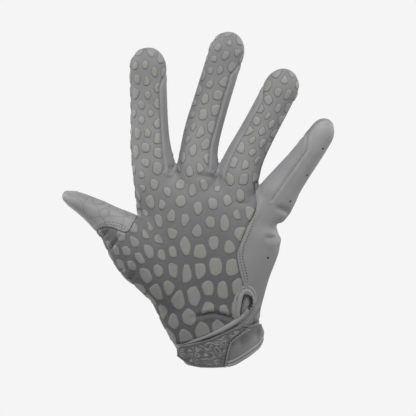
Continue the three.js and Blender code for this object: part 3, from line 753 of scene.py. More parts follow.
# Stretches of the outline that are drawn in: their pixels, and how far each goes right and down
DRAWS = [
    ([(94, 197), (104, 200), (115, 203), (125, 205.3), (134, 208)],
     [(0, 0), (0, 1), (0.3, 4), (1, 5.5), (3.5, 7)]),
    ([(129, 148), (128.6, 160), (129.6, 172), (131, 186), (132.5, 198), (134, 208)],
     [(0.5, 0), (2.6, 0), (3, 0), (2.8, 0), (2.8, 1.5), (3.5, 7)]),
    ([(184, 122), (181, 134), (178, 146), (175.5, 158), (174.5, 168)],
     [(0.5, 0), (1.8, 0), (3, 0), (3, 0), (1.5, 1)]),
    ([(309, 122), (303, 132), (294, 144), (285, 155), (277, 165)],
     [(2.5, 0), (3.2, 0), (3.4, 0), (2.6, 0), (1, 0)]),
    ([(60.5, 199), (64, 206), (72, 213.5), (80, 218.5), (91, 227)],
     [(1, -1), (1, -3.4), (0, -4), (0, -3), (0, -0.5)]),
    ([(70, 190.5), (65, 192), (61.5, 195.5)], [(0, 0), (0, -2), (0, -2.5)]),
]
DRAW_REACH = 4.5
# The shares of its length over which a fold fades in at either end, and those of a ridge
FOLD_ENDS, RIDGE_ENDS = (-0.25, 0.25), (-0.2, 0.3)
# How squarely the skin must face the picture to take a fold, and how far a fold's lips lie from it and
# how wide they are, as shares of its own half width
FACING = (0.05, 0.45)
LIP_AWAY, LIP_HALF = 2.4, 1.3
FAR = 1e3


def drawn_in(points):
    """The skin with stretches of its outline drawn across the front view"""
    moved, total = np.zeros((len(points), 2)), np.zeros(len(points))
    for line, shifts in DRAWS:
        line = [from_pixel(pixel) for pixel in line]
        along = np.cumsum([0] + [math.dist(a, b) for a, b in zip(line, line[1:])])
        distance, share = polyline_field(points, curve_through(line))
        over = np.maximum(np.maximum(-share, share - 1), 0) * along[-1]
        weight = np.exp(-(distance ** 2 + over ** 2) / DRAW_REACH ** 2)
        right, down = (np.interp(share, along / along[-1], shift) * PIXEL for shift in zip(*shifts))
        moved += weight[:, None] * np.stack([right, -down], 1)
        total += weight
    moved /= np.maximum(total, 1)[:, None]
    return points + np.insert(moved, 1, 0, axis=1)


def sculpted(points, normals):
    """The skin with its folds, ridges and swellings"""
    moved = np.zeros(len(points))
    facing = smoothstep(*FACING, -normals[:, 1])
    for line, depth, half, lip in FOLDS:
        distance, share = polyline_field(points, pixel_curve(line))
        distance = np.abs(distance) + FAR * ((share < -0.3) | (share > 1.3))
        ends = smoothstep(*FOLD_ENDS, share) * smoothstep(*FOLD_ENDS, 1 - share)
        moved -= facing * ends * depth * np.exp(-(distance / half) ** 2)
        from_lip = (distance - LIP_AWAY * half) / (LIP_HALF * half)
        moved += facing * ends * lip * np.exp(-from_lip ** 2)
    for line, height, half in RIDGES:
        distance, share = polyline_field(points, pixel_curve(line))
        ends = smoothstep(*RIDGE_ENDS, share) * smoothstep(*RIDGE_ENDS, 1 - share)
        moved += facing * ends * height * np.exp(-(distance / half) ** 2)
    for pixel, amount, radius in SWELLINGS:
        across, up = from_pixel(pixel)
        distance = np.hypot(points[:, 0] - across, points[:, 2] - up)
        moved += amount * np.exp(-(distance / radius) ** 2)
    return points + normals * moved[:, None]


# How far apart two limbs' surfaces are where the joint between them is hardly smoothed any more, and the
# rounds of smoothing: of the raw skin, of its joints, and of all at the end
JOINT_REACH = 5.0
RAW_ROUNDS, JOINT_ROUNDS, LAST_ROUNDS = 4, 14, 3


def make_skin():
    """The glove's skin, smoothed where limbs meet, sculpted and cut along its seams"""
    points, faces = joined_limbs()
    points = smoothed(points, faces, RAW_ROUNDS)
    rows = np.stack([limb.coordinates(points)[:, 3] for limb in LIMBS.values()])
    rows.sort(axis=0)
    near_joint = np.exp(-((rows[1] - rows[0]) / JOINT_REACH) ** 2)
    points = smoothed(points, faces, JOINT_ROUNDS, near_joint, swell=0.0)
    points = smoothed(points, faces, LAST_ROUNDS)
    points = drawn_in(points)
    points = sculpted(points, normals_of(points, faces))
    skin = Skin(points, faces)
    part_skin(skin)
    return skin


# Panels of one group have no visible seam between them
GROUPS = [
    ("palm_panel", "thumb_saddle", "thumb_front", "index_front", "middle_front", "ring_front"),
    ("side_panel", "little_front"),
    ("back_panel", "index_back", "middle_back", "ring_back", "little_back", "thumb_back"),
    ("cuff_band",), ("thumb_overlay",), ("index_strip_right",), ("middle_strip_left",),
    ("middle_strip_right",), ("ring_strip_left",), ("ring_strip_right",), ("little_strip_left",),
    ("thumb_strip_right",),
]
GROUP_OF = {name: k for k, names in enumerate(GROUPS) for name in names}
SEAM_DEPTH, SEAM_HALF = 0.34, 0.95
SEAM_RIDGE, RIDGE_AWAY, RIDGE_HALF = 0.3, 2.1, 1.0


def seam_marks(skin, labels):
    """Which points lie on a seam between two groups. A strip runs on into the hand's panels without one"""
    kinds = np.array([GROUP_OF.get(label, -1) for label in labels])
    strips = np.char.find(labels, "_strip_") > 0
    panels = np.isin(labels, ("palm_panel", "side_panel", "back_panel", "thumb_saddle"))
    low = np.full(len(skin.points), len(GROUPS))
    high = np.full(len(skin.points), -1)
    by_strip, by_panel = np.zeros((2, len(skin.points)), bool)
    for corner in range(3):
        np.minimum.at(low, skin.faces[:, corner], kinds)
        np.maximum.at(high, skin.faces[:, corner], kinds)
        by_strip[skin.faces[strips, corner]] = True
        by_panel[skin.faces[panels, corner]] = True
    return (low >= 0) & (low < high) & ~(by_strip & by_panel)


def draw_in_seams(skin, marks):
    """Sinks the skin along its seams, with a soft ridge beside them"""
    seam = np.flatnonzero(marks)
    tree = KDTree(len(seam))
    for k in seam:
        tree.insert(skin.points[k], int(k))
    tree.balance()
    away = np.array([tree.find(point)[2] for point in skin.points])
    ridge = SEAM_RIDGE * np.exp(-((away - RIDGE_AWAY) / RIDGE_HALF) ** 2)
    groove = SEAM_DEPTH * np.exp(-(away / SEAM_HALF) ** 2)
    skin.table[:, :3] += normals_of(skin.points, skin.faces) * (ridge - groove)[:, None]


skin = make_skin()
labels = label_of(skin.table[skin.faces].mean(1))
seams = seam_marks(skin, labels)
draw_in_seams(skin, seams)


# Materials

def linear(shade):
    """A colour written as 0xRRGGBB, as the renderer's linear colour"""
    parts = [((shade >> step) & 255) / 255 for step in (16, 8, 0)]
    return (*[p / 12.92 if p <= 0.04045 else ((p + 0.055) / 1.055) ** 2.4 for p in parts], 1.0)


# The scale at which a wave texture repeats every millimetre, the seam mark at which the painted shade in a
# seam would be full, and the heights between which the painted shade of the heel fades out and the
# fingertips' tone fades in
WAVE_SCALE = 2 * math.pi / 20
FULL_SEAM_SHADE = 1.4
HEEL_SHADE_HEIGHTS, HEEL_SHADE_POWER = (32.0, 122.0), 1.5
TIP_HEIGHTS = (146.0, 196.0)


class Finish:
    """A material under construction: its shader, its node tree and its coordinates in millimetres"""

    def __init__(self, name, roughness, sheen=0.0, sheen_roughness=0.5, sheen_tint=0xffffff, specular=0.3):
        self.material = bpy.data.materials.new(name)
        self.material.use_nodes = True
        self.tree = self.material.node_tree
        self.shader = self.tree.nodes["Principled BSDF"]
        self.shader.inputs["Roughness"].default_value = roughness
        self.shader.inputs["Sheen Weight"].default_value = sheen
        self.shader.inputs["Sheen Roughness"].default_value = sheen_roughness
        self.shader.inputs["Sheen Tint"].default_value = linear(sheen_tint)
        self.shader.inputs["Specular IOR Level"].default_value = specular
        coordinates = self.node("ShaderNodeTexCoord")
        self.flat = self.scaled(coordinates.outputs["UV"])
        self.space = self.scaled(coordinates.outputs["Object"])

    def node(self, kind, **settings):
        made = self.tree.nodes.new(kind)
        for key, value in settings.items():
            setattr(made, key, value)
        return made

    def wire(self, source, target):
        self.tree.links.new(source, target)

    def scaled(self, vector):
        made = self.node("ShaderNodeMapping")
        made.inputs["Scale"].default_value = (1 / METRE,) * 3
        self.wire(vector, made.inputs["Vector"])
        return made.outputs["Vector"]

    def noise(self, vector, size, detail=3.0, roughness=0.55):
        made = self.node("ShaderNodeTexNoise")
        made.inputs["Scale"].default_value = 1 / size
        made.inputs["Detail"].default_value = detail
        made.inputs["Roughness"].default_value = roughness
        self.wire(vector, made.inputs["Vector"])
        return made.outputs["Fac"]

    def wave(self, vector, period, direction, wobble):
        made = self.node("ShaderNodeTexWave", bands_direction=direction, wave_profile="SIN")
        made.inputs["Scale"].default_value = WAVE_SCALE / period
        made.inputs["Distortion"].default_value = wobble
        made.inputs["Detail"].default_value = 1.0
        self.wire(vector, made.inputs["Vector"])
        return made.outputs["Fac"]

    def sum(self, one, other, operation="ADD"):
        made = self.node("ShaderNodeMath", operation=operation)
        for socket, value in zip(made.inputs, (one, other)):
            if isinstance(value, (int, float)):
                socket.default_value = value
            else:
                self.wire(value, socket)
        return made.outputs[0]

    def between(self, factor, low, high):
        """A factor between two values"""
        made = self.node("ShaderNodeMapRange")
        made.inputs["From Min"].default_value = low
        made.inputs["From Max"].default_value = high
        self.wire(factor, made.inputs["Value"])
        return made.outputs["Result"]

    def mix(self, factor, one, other):
        made = self.node("ShaderNodeMix", data_type="RGBA")
        self.wire(factor, made.inputs["Factor"])
        for socket, value in ((made.inputs[6], one), (made.inputs[7], other)):
            if isinstance(value, int):
                socket.default_value = linear(value)
            else:
                self.wire(value, socket)
        return made.outputs[2]

    def height(self):
        """Millimetres over the frame's origin"""
        parts = self.node("ShaderNodeSeparateXYZ")
        self.wire(self.space, parts.inputs[0])
        return parts.outputs["Z"]

    def heel_shade_and_tip_tone(self, tone, heel, tips):
        """A tone that darkens to a painted shade towards the heel, and turns to a third tone towards the
        fingertips
        """
        share = self.sum(self.between(self.height(), *HEEL_SHADE_HEIGHTS), HEEL_SHADE_POWER, "POWER")
        return self.mix(self.between(self.height(), *TIP_HEIGHTS), self.mix(share, heel, tone), tips)

    def attribute(self, name):
        return self.node("ShaderNodeAttribute", attribute_name=name).outputs["Fac"]

    def shaded_at_seams(self, tone, seam):
        """A tone that turns to a painted shade where the mesh is marked as seam: in the seams' grooves and
        round a printed cell's edge
        """
        return self.mix(self.between(self.attribute("seam"), 0.0, FULL_SEAM_SHADE), tone, seam)

    def colour(self, socket):
        self.wire(socket, self.shader.inputs["Base Color"])

    def roughness(self, factor, low, high):
        made = self.node("ShaderNodeMapRange")
        made.inputs["To Min"].default_value = low
        made.inputs["To Max"].default_value = high
        self.wire(factor, made.inputs["Value"])
        self.wire(made.outputs["Result"], self.shader.inputs["Roughness"])

    def bump(self, height, depth):
        """Relief of a height from 0 to 1, in millimetres of depth, over what was there before"""
        made = self.node("ShaderNodeBump")
        made.inputs["Strength"].default_value = 1.0
        made.inputs["Distance"].default_value = depth * METRE
        self.wire(height, made.inputs["Height"])
        normal = self.shader.inputs["Normal"]
        if normal.is_linked:
            self.wire(normal.links[0].from_socket, made.inputs["Normal"])
        self.wire(made.outputs["Normal"], normal)


def knit_finish(name, dark, light, seam, loop=0.75, sheen=0.2, ribs=False, depth=0.09, heel_shade_tip_tones=None):
    """A fine knit: columns of loops, slightly uneven, with painted shade in its seams and, if asked, towards
    the heel
    """
    made = Finish(name, 0.85, sheen, 0.35, 0xdfe0e4, 0.2)
    courses = made.wave(made.flat, loop, "Y", 0.6)
    columns = made.wave(made.flat, loop * (1.6 if ribs else 1.15), "X", 0.5)
    knit = made.sum(courses, columns, "MULTIPLY") if not ribs else made.sum(columns, courses)
    patches = made.noise(made.space, 14, 2.0)
    fibres = made.noise(made.space, 0.8, 4.0, 0.7)
    uneven = made.sum(patches, made.sum(fibres, 0.35, "MULTIPLY"))
    tone = made.mix(made.between(uneven, 0.45, 0.9), dark, light)
    tone = made.mix(made.sum(knit, 0.22, "MULTIPLY"), tone, light)
    if heel_shade_tip_tones is not None:
        tone = made.heel_shade_and_tip_tone(tone, *heel_shade_tip_tones)
    made.colour(made.shaded_at_seams(tone, seam))
    made.roughness(fibres, 0.78, 0.95)
    made.bump(knit, depth)
    made.bump(fibres, 0.05)
    return made.material


# Width of the faint wide scales, and how much of a moulded relief's colour is painted shade and highlight by
# its height
SCALE_WIDTH = 12.5
RELIEF_SHADE = 0.75


def grain_finish(name, dark, light, seam, roughness=0.55, grain=1.1, scales=False, sheen=0.15, heel_shade_tip_tones=None):
    """A smooth synthetic with a fine pebbled grain and painted shade in its seams, with a faint tone of wide
    scales if asked and painted shade towards the heel if asked
    """
    made = Finish(name, roughness, sheen, 0.3, 0xffffff, 0.35)
    cells = made.node("ShaderNodeTexVoronoi", feature="SMOOTH_F1")
    cells.inputs["Scale"].default_value = 1 / grain
    made.wire(made.space, cells.inputs["Vector"])
    patches = made.noise(made.space, 18, 2.0)
    fine = made.noise(made.space, 0.5, 3.0)
    uneven = made.sum(patches, made.sum(fine, 0.2, "MULTIPLY"))
    tone = made.mix(made.between(uneven, 0.4, 0.8), dark, light)
    if heel_shade_tip_tones is not None:
        tone = made.heel_shade_and_tip_tone(tone, *heel_shade_tip_tones)
    tone = made.shaded_at_seams(tone, seam)
    if scales:
        rings = made.node("ShaderNodeTexVoronoi", feature="DISTANCE_TO_EDGE")
        rings.inputs["Scale"].default_value = 1 / SCALE_WIDTH
        rings.inputs["Randomness"].default_value = 0.75
        made.wire(made.space, rings.inputs["Vector"])
        line = made.between(rings.outputs["Distance"], 0.05, 0.0)
        tone = made.mix(made.sum(line, 0.5, "MULTIPLY"), tone, seam)
        made.bump(rings.outputs["Distance"], 0.25)
    made.colour(tone)
    made.roughness(fine, roughness - 0.06, roughness + 0.1)
    made.bump(cells.outputs["Distance"], 0.05)
    made.bump(fine, 0.03)
    return made.material


def paint_relief_shade(material, low, high):
    """Paints shade into a moulded relief's low places and a highlight onto its high ones and its rim, by its
    height
    """
    nodes, links = material.node_tree.nodes, material.node_tree.links
    shader = nodes["Principled BSDF"]
    height = nodes.new("ShaderNodeAttribute")
    height.attribute_name = "relief"
    tone = nodes.new("ShaderNodeMix")
    tone.data_type = "RGBA"
    tone.inputs[6].default_value, tone.inputs[7].default_value = linear(low), linear(high)
    both = nodes.new("ShaderNodeMix")
    both.data_type = "RGBA"
    both.inputs["Factor"].default_value = RELIEF_SHADE
    links.new(height.outputs["Fac"], tone.inputs["Factor"])
    links.new(shader.inputs["Base Color"].links[0].from_socket, both.inputs[6])
    links.new(tone.outputs[2], both.inputs[7])
    links.new(both.outputs[2], shader.inputs["Base Color"])


# Painted shade: the printed knit, the side panel's synthetic and the print darken towards the heel, and every
# seam tone is the shade painted in the seams
printed_knit = knit_finish("printed_knit", 0x777778, 0x828283, 0x5c5c5e, heel_shade_tip_tones=(0x515153, 0x707071))
strip_knit = knit_finish("strip_knit", 0x7a7a7c, 0x8a8a8b, 0x646465, 0.6, 0.3, True)
back_knit = knit_finish("back_knit", 0x737375, 0x838385, 0x4c4c4e, 0.9, 0.25, True)
plain_synthetic = grain_finish("plain_synthetic", 0x7b7b7c, 0x868686, 0x525253, heel_shade_tip_tones=(0x6a6a6b, 0x818181))
scaled_synthetic = grain_finish("scaled_synthetic", 0x7b7b7c, 0x878787, 0x5c5c5d, scales=True)


# Cloth pieces cut from the skin

skin_normals = normals_of(skin.points, skin.faces)


def border_of(faces):
    """Directed edges that only one of the faces has"""
    pairs = sides_of(faces).astype(np.int64)
    big = int(faces.max()) + 1
    keys = pairs[:, 0] * big + pairs[:, 1]
    back = pairs[:, 1] * big + pairs[:, 0]
    return pairs[~np.isin(keys, back)]


# How far over its crease a digit's bend would begin
BLEND_START = {"index": 2.0, "middle": 1.0, "ring": 5.0, "little": 5.0, "thumb": 6.0}


def blend_along(piece, name):
    """Reads where a digit's bend would begin, just over its crease, and only bakes the piece's transform"""
    start = BLEND_START[name]
    centre, _, along, _, _ = digits[name].at(np.array([DIGITS[name]["crease"] + start]))
    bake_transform(piece)


def carried(piece, body):
    """Fastens a piece to the hand or the strap; a digit's piece only has its transform baked"""
    if body in DIGITS:
        blend_along(piece, body)
    else:
        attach(piece, body)


def arc_of(table, name, back):
    """Length round the limb and along it, for weaves that follow the limb"""
    height, u, v, _ = limb_rows(table, name)
    angle = np.arctan2(u, -v)
    if back:
        angle = np.where(angle < 0, angle + 2 * math.pi, angle)
    radius = np.sqrt(np.prod(LIMBS[name].at(height)[4][:, :2], axis=1))
    return np.stack([angle * radius, height], -1)


def lay_flat(mesh, places):
    """Gives a mesh its flat coordinates, from one place in millimetres for each point"""
    corners = np.empty(len(mesh.loops), np.int32)
    mesh.loops.foreach_get("vertex_index", corners)
    flat = (np.asarray(places) * METRE).astype(np.float32)[corners]
    mesh.uv_layers.new(name="UVMap").data.foreach_set("uv", flat.ravel())


def mark_points(mesh, name, values):
    """Gives a mesh one value for each point, which its material reads"""
    marks = mesh.attributes.new(name, "FLOAT", "POINT")
    marks.data.foreach_set("value", np.asarray(values, np.float32))


def cloth_piece(name, body, material, lift=None):
    """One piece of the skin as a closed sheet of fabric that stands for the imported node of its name"""
    group = next(names for names in GROUPS if name in names)
    faces = skin.faces[labels == name]
    used, local = np.unique(faces, return_inverse=True)
    local = local.reshape(-1, 3)
    table = skin.table[used]
    together = skin.faces[np.isin(labels, group)]
    normals = np.where(seams[used, None], normals_of(skin.points, together)[used], skin_normals[used])
    border = border_of(local)
    outer = table[:, :3] + skin_normals[used] * (0 if lift is None else lift(table)[:, None])
    inner = table[:, :3] - skin_normals[used] * WALL
    count = len(used)
    rims = np.stack([border[:, 1], border[:, 0], border[:, 0] + count, border[:, 1] + count], 1)
    piece = link(f"{name}_cloth", np.vstack([outer, inner]),
                 local.tolist() + (local[:, ::-1] + count).tolist() + rims.tolist())
    mesh = piece.data
    if lift is not None:
        normals = normals_of(outer, local)
    corner = outer[rims[:, 0]]
    flat = np.cross(outer[rims[:, 1]] - corner, inner[rims[:, 3] - count] - corner)
    flat /= np.maximum(np.linalg.norm(flat, axis=1, keepdims=True), 1e-9)
    corners = np.vstack([normals[local].reshape(-1, 3), -normals[local[:, ::-1]].reshape(-1, 3),
                         np.repeat(flat, 4, axis=0)])
    mesh.polygons.foreach_set("use_smooth", [True] * len(mesh.polygons))
    mesh.normals_split_custom_set(corners.tolist())
    # The seam mark paints shade along the seams' grooves
    mark_points(mesh, "seam", np.concatenate([seams[used], np.zeros(count)]))
    limb = body if body in DIGITS else "palm"
    arc = arc_of(table, limb, name.endswith("back") or name == "back_panel")
    lay_flat(mesh, np.vstack([arc, arc]))
    mesh.materials.append(material)
    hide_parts(name)
    carried(piece, body)


def edge_lift(line, height, width, side):
    """Lifts a panel's edge along a seam, falling off into the panel"""
    def lift(table):
        distance = side * polyline_field(table, line)[0]
        return height * np.exp(-np.maximum(distance, 0) / width)
    return lift


# How far the edges of the side panel and the thumb's overlay rise
EDGE_RISE = 0.8
cloth_piece("palm_panel", "hand", printed_knit)
cloth_piece("thumb_saddle", "hand", printed_knit)
cloth_piece("side_panel", "hand", plain_synthetic,
            edge_lift(side_seam, EDGE_RISE, 3.0, -1))
cloth_piece("back_panel", "hand", back_knit)
cloth_piece("cuff_band", "hand", back_knit)
for digit in DIGITS:
    if digit == "little":
        cloth_piece("little_front", digit, plain_synthetic)
    else:
        cloth_piece(f"{digit}_front", digit, printed_knit)
    cloth_piece(f"{digit}_back", digit, back_knit)
    for side in ("left", "right"):
        if f"{digit}_strip_{side}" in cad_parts:
            cloth_piece(f"{digit}_strip_{side}", digit, strip_knit)
cloth_piece("thumb_overlay", "thumb", scaled_synthetic,
            edge_lift(overlay_hem, EDGE_RISE, 2.5, 1))


# Swept and woven pieces

def swept_mesh(points, normals, profile, scales=None, closed=False):
    """A closed profile of (aside, outwards) places carried along a line of points: its points and faces"""
    ahead = np.roll(points, -1, axis=0) - np.roll(points, 1, axis=0)
    if not closed:
        ahead[0], ahead[-1] = points[1] - points[0], points[-1] - points[-2]
    aside = np.cross(normals, ahead)
    aside /= np.linalg.norm(aside, axis=1, keepdims=True)
    profile = np.asarray(profile, float)
    scales = np.ones(len(points)) if scales is None else np.asarray(scales, float)
    rings = (points[:, None] + aside[:, None] * (profile[None, :, :1] * scales[:, None, None])
             + normals[:, None] * (profile[None, :, 1:] * scales[:, None, None]))
    count, steps = len(profile), len(points)
    faces = []
    for ring in range(steps if closed else steps - 1):
        low, high = ring * count, (ring + 1) % steps * count
        faces += [(low + i, low + (i + 1) % count, high + (i + 1) % count, high + i) for i in range(count)]
    if not closed:
        last = (steps - 1) * count
        faces += [tuple(range(count))[::-1], tuple(range(last, last + count))]
    return rings.reshape(-1, 3), faces


def joined(parts):
    """Several meshes as one list of points and one of faces"""
    points, faces, first = [], [], 0
    for some, more in parts:
        points.append(some)
        faces += [tuple(first + i for i in face) for face in more]
        first += len(some)
    return np.vstack(points), faces


SHARPEST_SMOOTHED = math.radians(48)


def facing_out(piece):
    """Turns the faces of a closed mesh outwards and smooths all but its sharp edges"""
    build = bmesh.new()
    build.from_mesh(piece.data)
    bmesh.ops.recalc_face_normals(build, faces=build.faces)
    build.to_mesh(piece.data)
    build.free()
    piece.data.polygons.foreach_set("use_smooth", [True] * len(piece.data.polygons))
    piece.data.set_sharp_from_angle(angle=SHARPEST_SMOOTHED)


def add_piece(name, mesh, material, body, nodes=(), place=None):
    """A finished piece of its own: its mesh, material, slot, the nodes it stands for and its body; a piece of
    the strap is not fastened to it and only has its transform baked
    """
    piece = link(name, *mesh)
    facing_out(piece)
    piece.data.materials.append(material)
    if place is not None:
        lay_flat(piece.data, place)
    if nodes:
        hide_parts(*nodes)
    if body == "strap":
        centre, hinge = strap_hinge()
        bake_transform(piece)
    else:
        carried(piece, body)
    return piece


def slab_mesh(outer, inner):
    """A closed sheet between two grids of points: its points and faces"""
    rows, columns = outer.shape[:2]
    count = rows * columns

    def at(row, column, layer):
        return layer * count + row * columns + column

    faces = []
    for row in range(rows - 1):
        for column in range(columns - 1):
            for layer in (0, 1):
                ring = [at(row, column, layer), at(row, column + 1, layer),
                        at(row + 1, column + 1, layer), at(row + 1, column, layer)]
                faces.append(tuple(ring if layer == 0 else ring[::-1]))
    last = rows - 1
    for column in range(columns - 1):
        after = column + 1
        faces.append((at(0, column, 0), at(0, column, 1), at(0, after, 1), at(0, after, 0)))
        faces.append((at(last, column, 0), at(last, after, 0), at(last, after, 1), at(last, column, 1)))
    last = columns - 1
    for row in range(rows - 1):
        after = row + 1
        faces.append((at(row, 0, 0), at(after, 0, 0), at(after, 0, 1), at(row, 0, 1)))
        faces.append((at(row, last, 0), at(row, last, 1), at(after, last, 1), at(after, last, 0)))
    return np.vstack([outer.reshape(-1, 3), inner.reshape(-1, 3)]), faces


def rounded(profile, steps=4):
    """A closed profile through its places, smooth all round"""
    ring = [profile[-1], *profile, profile[0], profile[1]]
    made = curve_through(ring, steps)
    return made[steps:-2 * steps]


# Along a stitch: shares of its length, its thickness there, and how far it rises there
STITCH_SHARES = np.array([0, 0.18, 0.5, 0.82, 1])
STITCH_GIRTHS = (0.45, 0.9, 1, 0.9, 0.45)
STITCH_RISE = np.array([-1.6, 0, 0, 0, -1.6])


def stitch_run(points, normals, pitch, length, half_width, proud=0.12):
    """Stitches of thread laid along a line: a list of small meshes"""
    steps = np.linalg.norm(np.diff(points, axis=0), axis=1)
    run = np.concatenate([[0], np.cumsum(steps)])
    profile = [(math.cos(a) * half_width, math.sin(a) * half_width + proud - half_width * 0.4)
               for a in np.arange(6) * math.pi / 3]
    made = []
    for start in np.arange(pitch / 2, run[-1] - length, pitch):
        at = start + length * STITCH_SHARES
        some = np.stack([np.interp(at, run, points[:, k]) for k in range(3)], -1)
        out = np.stack([np.interp(at, run, normals[:, k]) for k in range(3)], -1)
        some = some + out * (proud * STITCH_RISE)[:, None]
        made.append(swept_mesh(some, out, profile, STITCH_GIRTHS))
    return made


# Cuff, strap, tab and keyhole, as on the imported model

# Thicknesses of the strap's layers and how far from the palm's surface each lies
STRAP_THICKNESS, FASTENER_THICKNESS, TAB_THICKNESS, LAYER_GAP = 1.2, 0.7, 1.8, 0.35
PIPING_PROUD = 0.7
LOOP_FOOT = PIPING_PROUD + LAYER_GAP
HOOK_FOOT = LOOP_FOOT + FASTENER_THICKNESS + LAYER_GAP
BAND_FOOT = HOOK_FOOT + FASTENER_THICKNESS + LAYER_GAP
BAND_TOP = BAND_FOOT + STRAP_THICKNESS
TAB_FOOT = BAND_TOP + LAYER_GAP
TAB_TOP = TAB_FOOT + TAB_THICKNESS
STRAP_SPAN, STRAP_HEIGHT = 52.0, 27.0
# The strap's hinge, free end and sewn end, as angles round the palm in degrees
STRAP_HINGE, STRAP_FREE, STRAP_SEWN = 96.0, -60.0, 150.0
SEWN_HEIGHTS = (0.78, 11.05)
# Front outlines of the strap and its patches, as shares of the strap's span and height
STRAP_SHARES = [
    (-0.62, -0.1), (-0.55, -0.17), (-0.42, -0.32), (-0.25, -0.43), (0.08, -0.43), (0.19, -0.37),
    (0.37, -0.16), (0.49, 0.03), (0.55, 0.23), (0.75, 0.35), (0.75, 0.72), (0.5, 0.61), (0.37, 0.54),
    (0.23, 0.585), (0.02, 0.39), (-0.18, 0.23), (-0.49, 0.105), (-0.62, 0.08),
]
PATCH_SHARES = [
    (-0.47, -0.17), (-0.34, -0.25), (-0.17, -0.33), (0.02, -0.33), (0.06, 0.2), (0.02, 0.28),
    (-0.18, 0.12), (-0.47, 0.01),
]
strap_outline = np.array(STRAP_SHARES) * (STRAP_SPAN, STRAP_HEIGHT)
patch_outline = np.array(PATCH_SHARES) * (STRAP_SPAN, STRAP_HEIGHT)
# Heights searched for the strap's edges
STRAP_HEIGHTS = np.arange(-18, 36, 0.1)


def heights_in(outline, angles, offset):
    """Lowest and highest heights inside a front outline, for each angle round the palm"""
    heights = STRAP_HEIGHTS
    points = palm.surface(heights[:, None], angles[None], offset)
    held = inside(points[..., [0, 2]].reshape(-1, 2), outline).reshape(points.shape[:2])
    low = np.where(held.any(0), heights[held.argmax(0)], np.nan)
    high = np.where(held.any(0), heights[len(heights) - 1 - held[::-1].argmax(0)], np.nan)
    return low, high


def evened(values):
    values = np.array(values, float)
    for _ in range(6):
        values[1:-1] = (values[:-2] + 2 * values[1:-1] + values[2:]) / 4
    return values


# How far in front of the hinge the strap starts to bend, in degrees round the palm
BEND_SPAN = 32


def strap_hinge():
    """The strap's bend: where it starts to turn in front of its hinge, and the hinge itself"""
    angles = np.radians([STRAP_HINGE - BEND_SPAN, STRAP_HINGE])
    return palm.surface(np.full(2, sum(SEWN_HEIGHTS) / 2), angles, BAND_TOP)


def add_band(name, heights, angles, outer, inner, radius, material, body):
    """A sheet on the palm's surface that stands for a node, with its two faces at two distances from it"""
    mesh = slab_mesh(palm.surface(heights, angles, outer), palm.surface(heights, angles, inner))
    place = np.stack([angles * radius + heights * 0, heights], -1).reshape(-1, 2)
    add_piece(f"{name}_cloth", mesh, material, body, [name], np.vstack([place, place]))


# Where the strap changes, in degrees round the palm, each from where it begins to where it is full: the
# leans of its end, its top edge and its lower edge, the shifts of its top edge, the hollow beside the tab
# from either side, and the raised edge
END_LEAN = (-46, -58)
TOP_LEAN, TOP_LEAN_BACK, LOW_LEAN = (52, 78), (150, 118), (58, 86)
TOP_UP, TOP_DOWN, TOP_TO_SEWN = (60, 40), (30, 14), (66, 96)
HOLLOW_FRONT, HOLLOW_BACK = (12, 26), (66, 54)
RAISED_EDGE = (78, 60)


def end_lean(angles, share_up):
    """How far the strap and the tab lean in towards the wrist at the top of their free end"""
    return 2.0 * smoothstep(*END_LEAN, np.degrees(angles)) * smoothstep(0.1, 0.9, share_up)


def top_lean(angles, below_top):
    """How far the strap leans in along its top edge, round the side of the wrist"""
    turn = np.degrees(angles)
    rounding = np.clip(1 - below_top / 6.5, 0, 1) ** 2
    return 3.0 * smoothstep(*TOP_LEAN, turn) * smoothstep(*TOP_LEAN_BACK, turn) * rounding


def low_lean(angles):
    """How far the strap leans in along its lower edge, round the side of the wrist"""
    return 1.4 * smoothstep(*LOW_LEAN, np.degrees(angles))


# How far over the strap's lower edge the hollow starts, its depth, and how much of it the inner face has
HOLLOW_START, HOLLOW_DEPTH, HOLLOW_INSIDE = 2.5, 2.5, 0.8
# Radii of curved pieces for their flat coordinates
STRAP_RADIUS, PATCH_RADIUS, ELASTIC_RADIUS = 28, 20, 26


def add_strap():
    """The strap's band, hollow beside the tab, with a raised top edge"""
    angles = np.radians(np.arange(STRAP_FREE, STRAP_HINGE + 0.5, 1.5))
    turn = np.degrees(angles)
    low, high = heights_in(strap_outline, angles, BAND_TOP)
    low = evened(low)
    high = evened(high) + 0.7 * smoothstep(*TOP_UP, turn) - 1.2 * smoothstep(*TOP_DOWN, turn)
    high = high - (high[-1] - SEWN_HEIGHTS[1] + 4.0) * smoothstep(*TOP_TO_SEWN, turn)
    across = np.linspace(0, 1, 27)[:, None]
    heights = low + (high - low) * across
    width = np.maximum(high - low, 1)
    beside_tab = smoothstep(*HOLLOW_FRONT, turn) * smoothstep(*HOLLOW_BACK, turn)
    from_low = across * width
    into_hollow = np.clip((from_low - HOLLOW_START) / (width - HOLLOW_START), 0, 1)
    hollow = -HOLLOW_DEPTH * np.sin(math.pi * into_hollow) * beside_tab
    edge = 0.5 * np.exp(-((width - from_low - 0.7) / 0.9) ** 2) * smoothstep(*RAISED_EDGE, turn)
    end = 0.6 * smoothstep(6, 0, from_low) * smoothstep(6, 0, width - from_low)
    leaning = end_lean(angles, across) + top_lean(angles, width - from_low)
    leaning = leaning + low_lean(angles) * np.clip(1 - from_low / 5.0, 0, 1) ** 2
    outer = BAND_TOP + hollow + edge - 0.25 * (across == 1) + end - leaning
    inner = BAND_FOOT + np.minimum(hollow, 0) * HOLLOW_INSIDE - leaning
    add_band("strap_band", heights, angles, outer, inner, STRAP_RADIUS, strap_leather,
             "strap")
    return angles, low


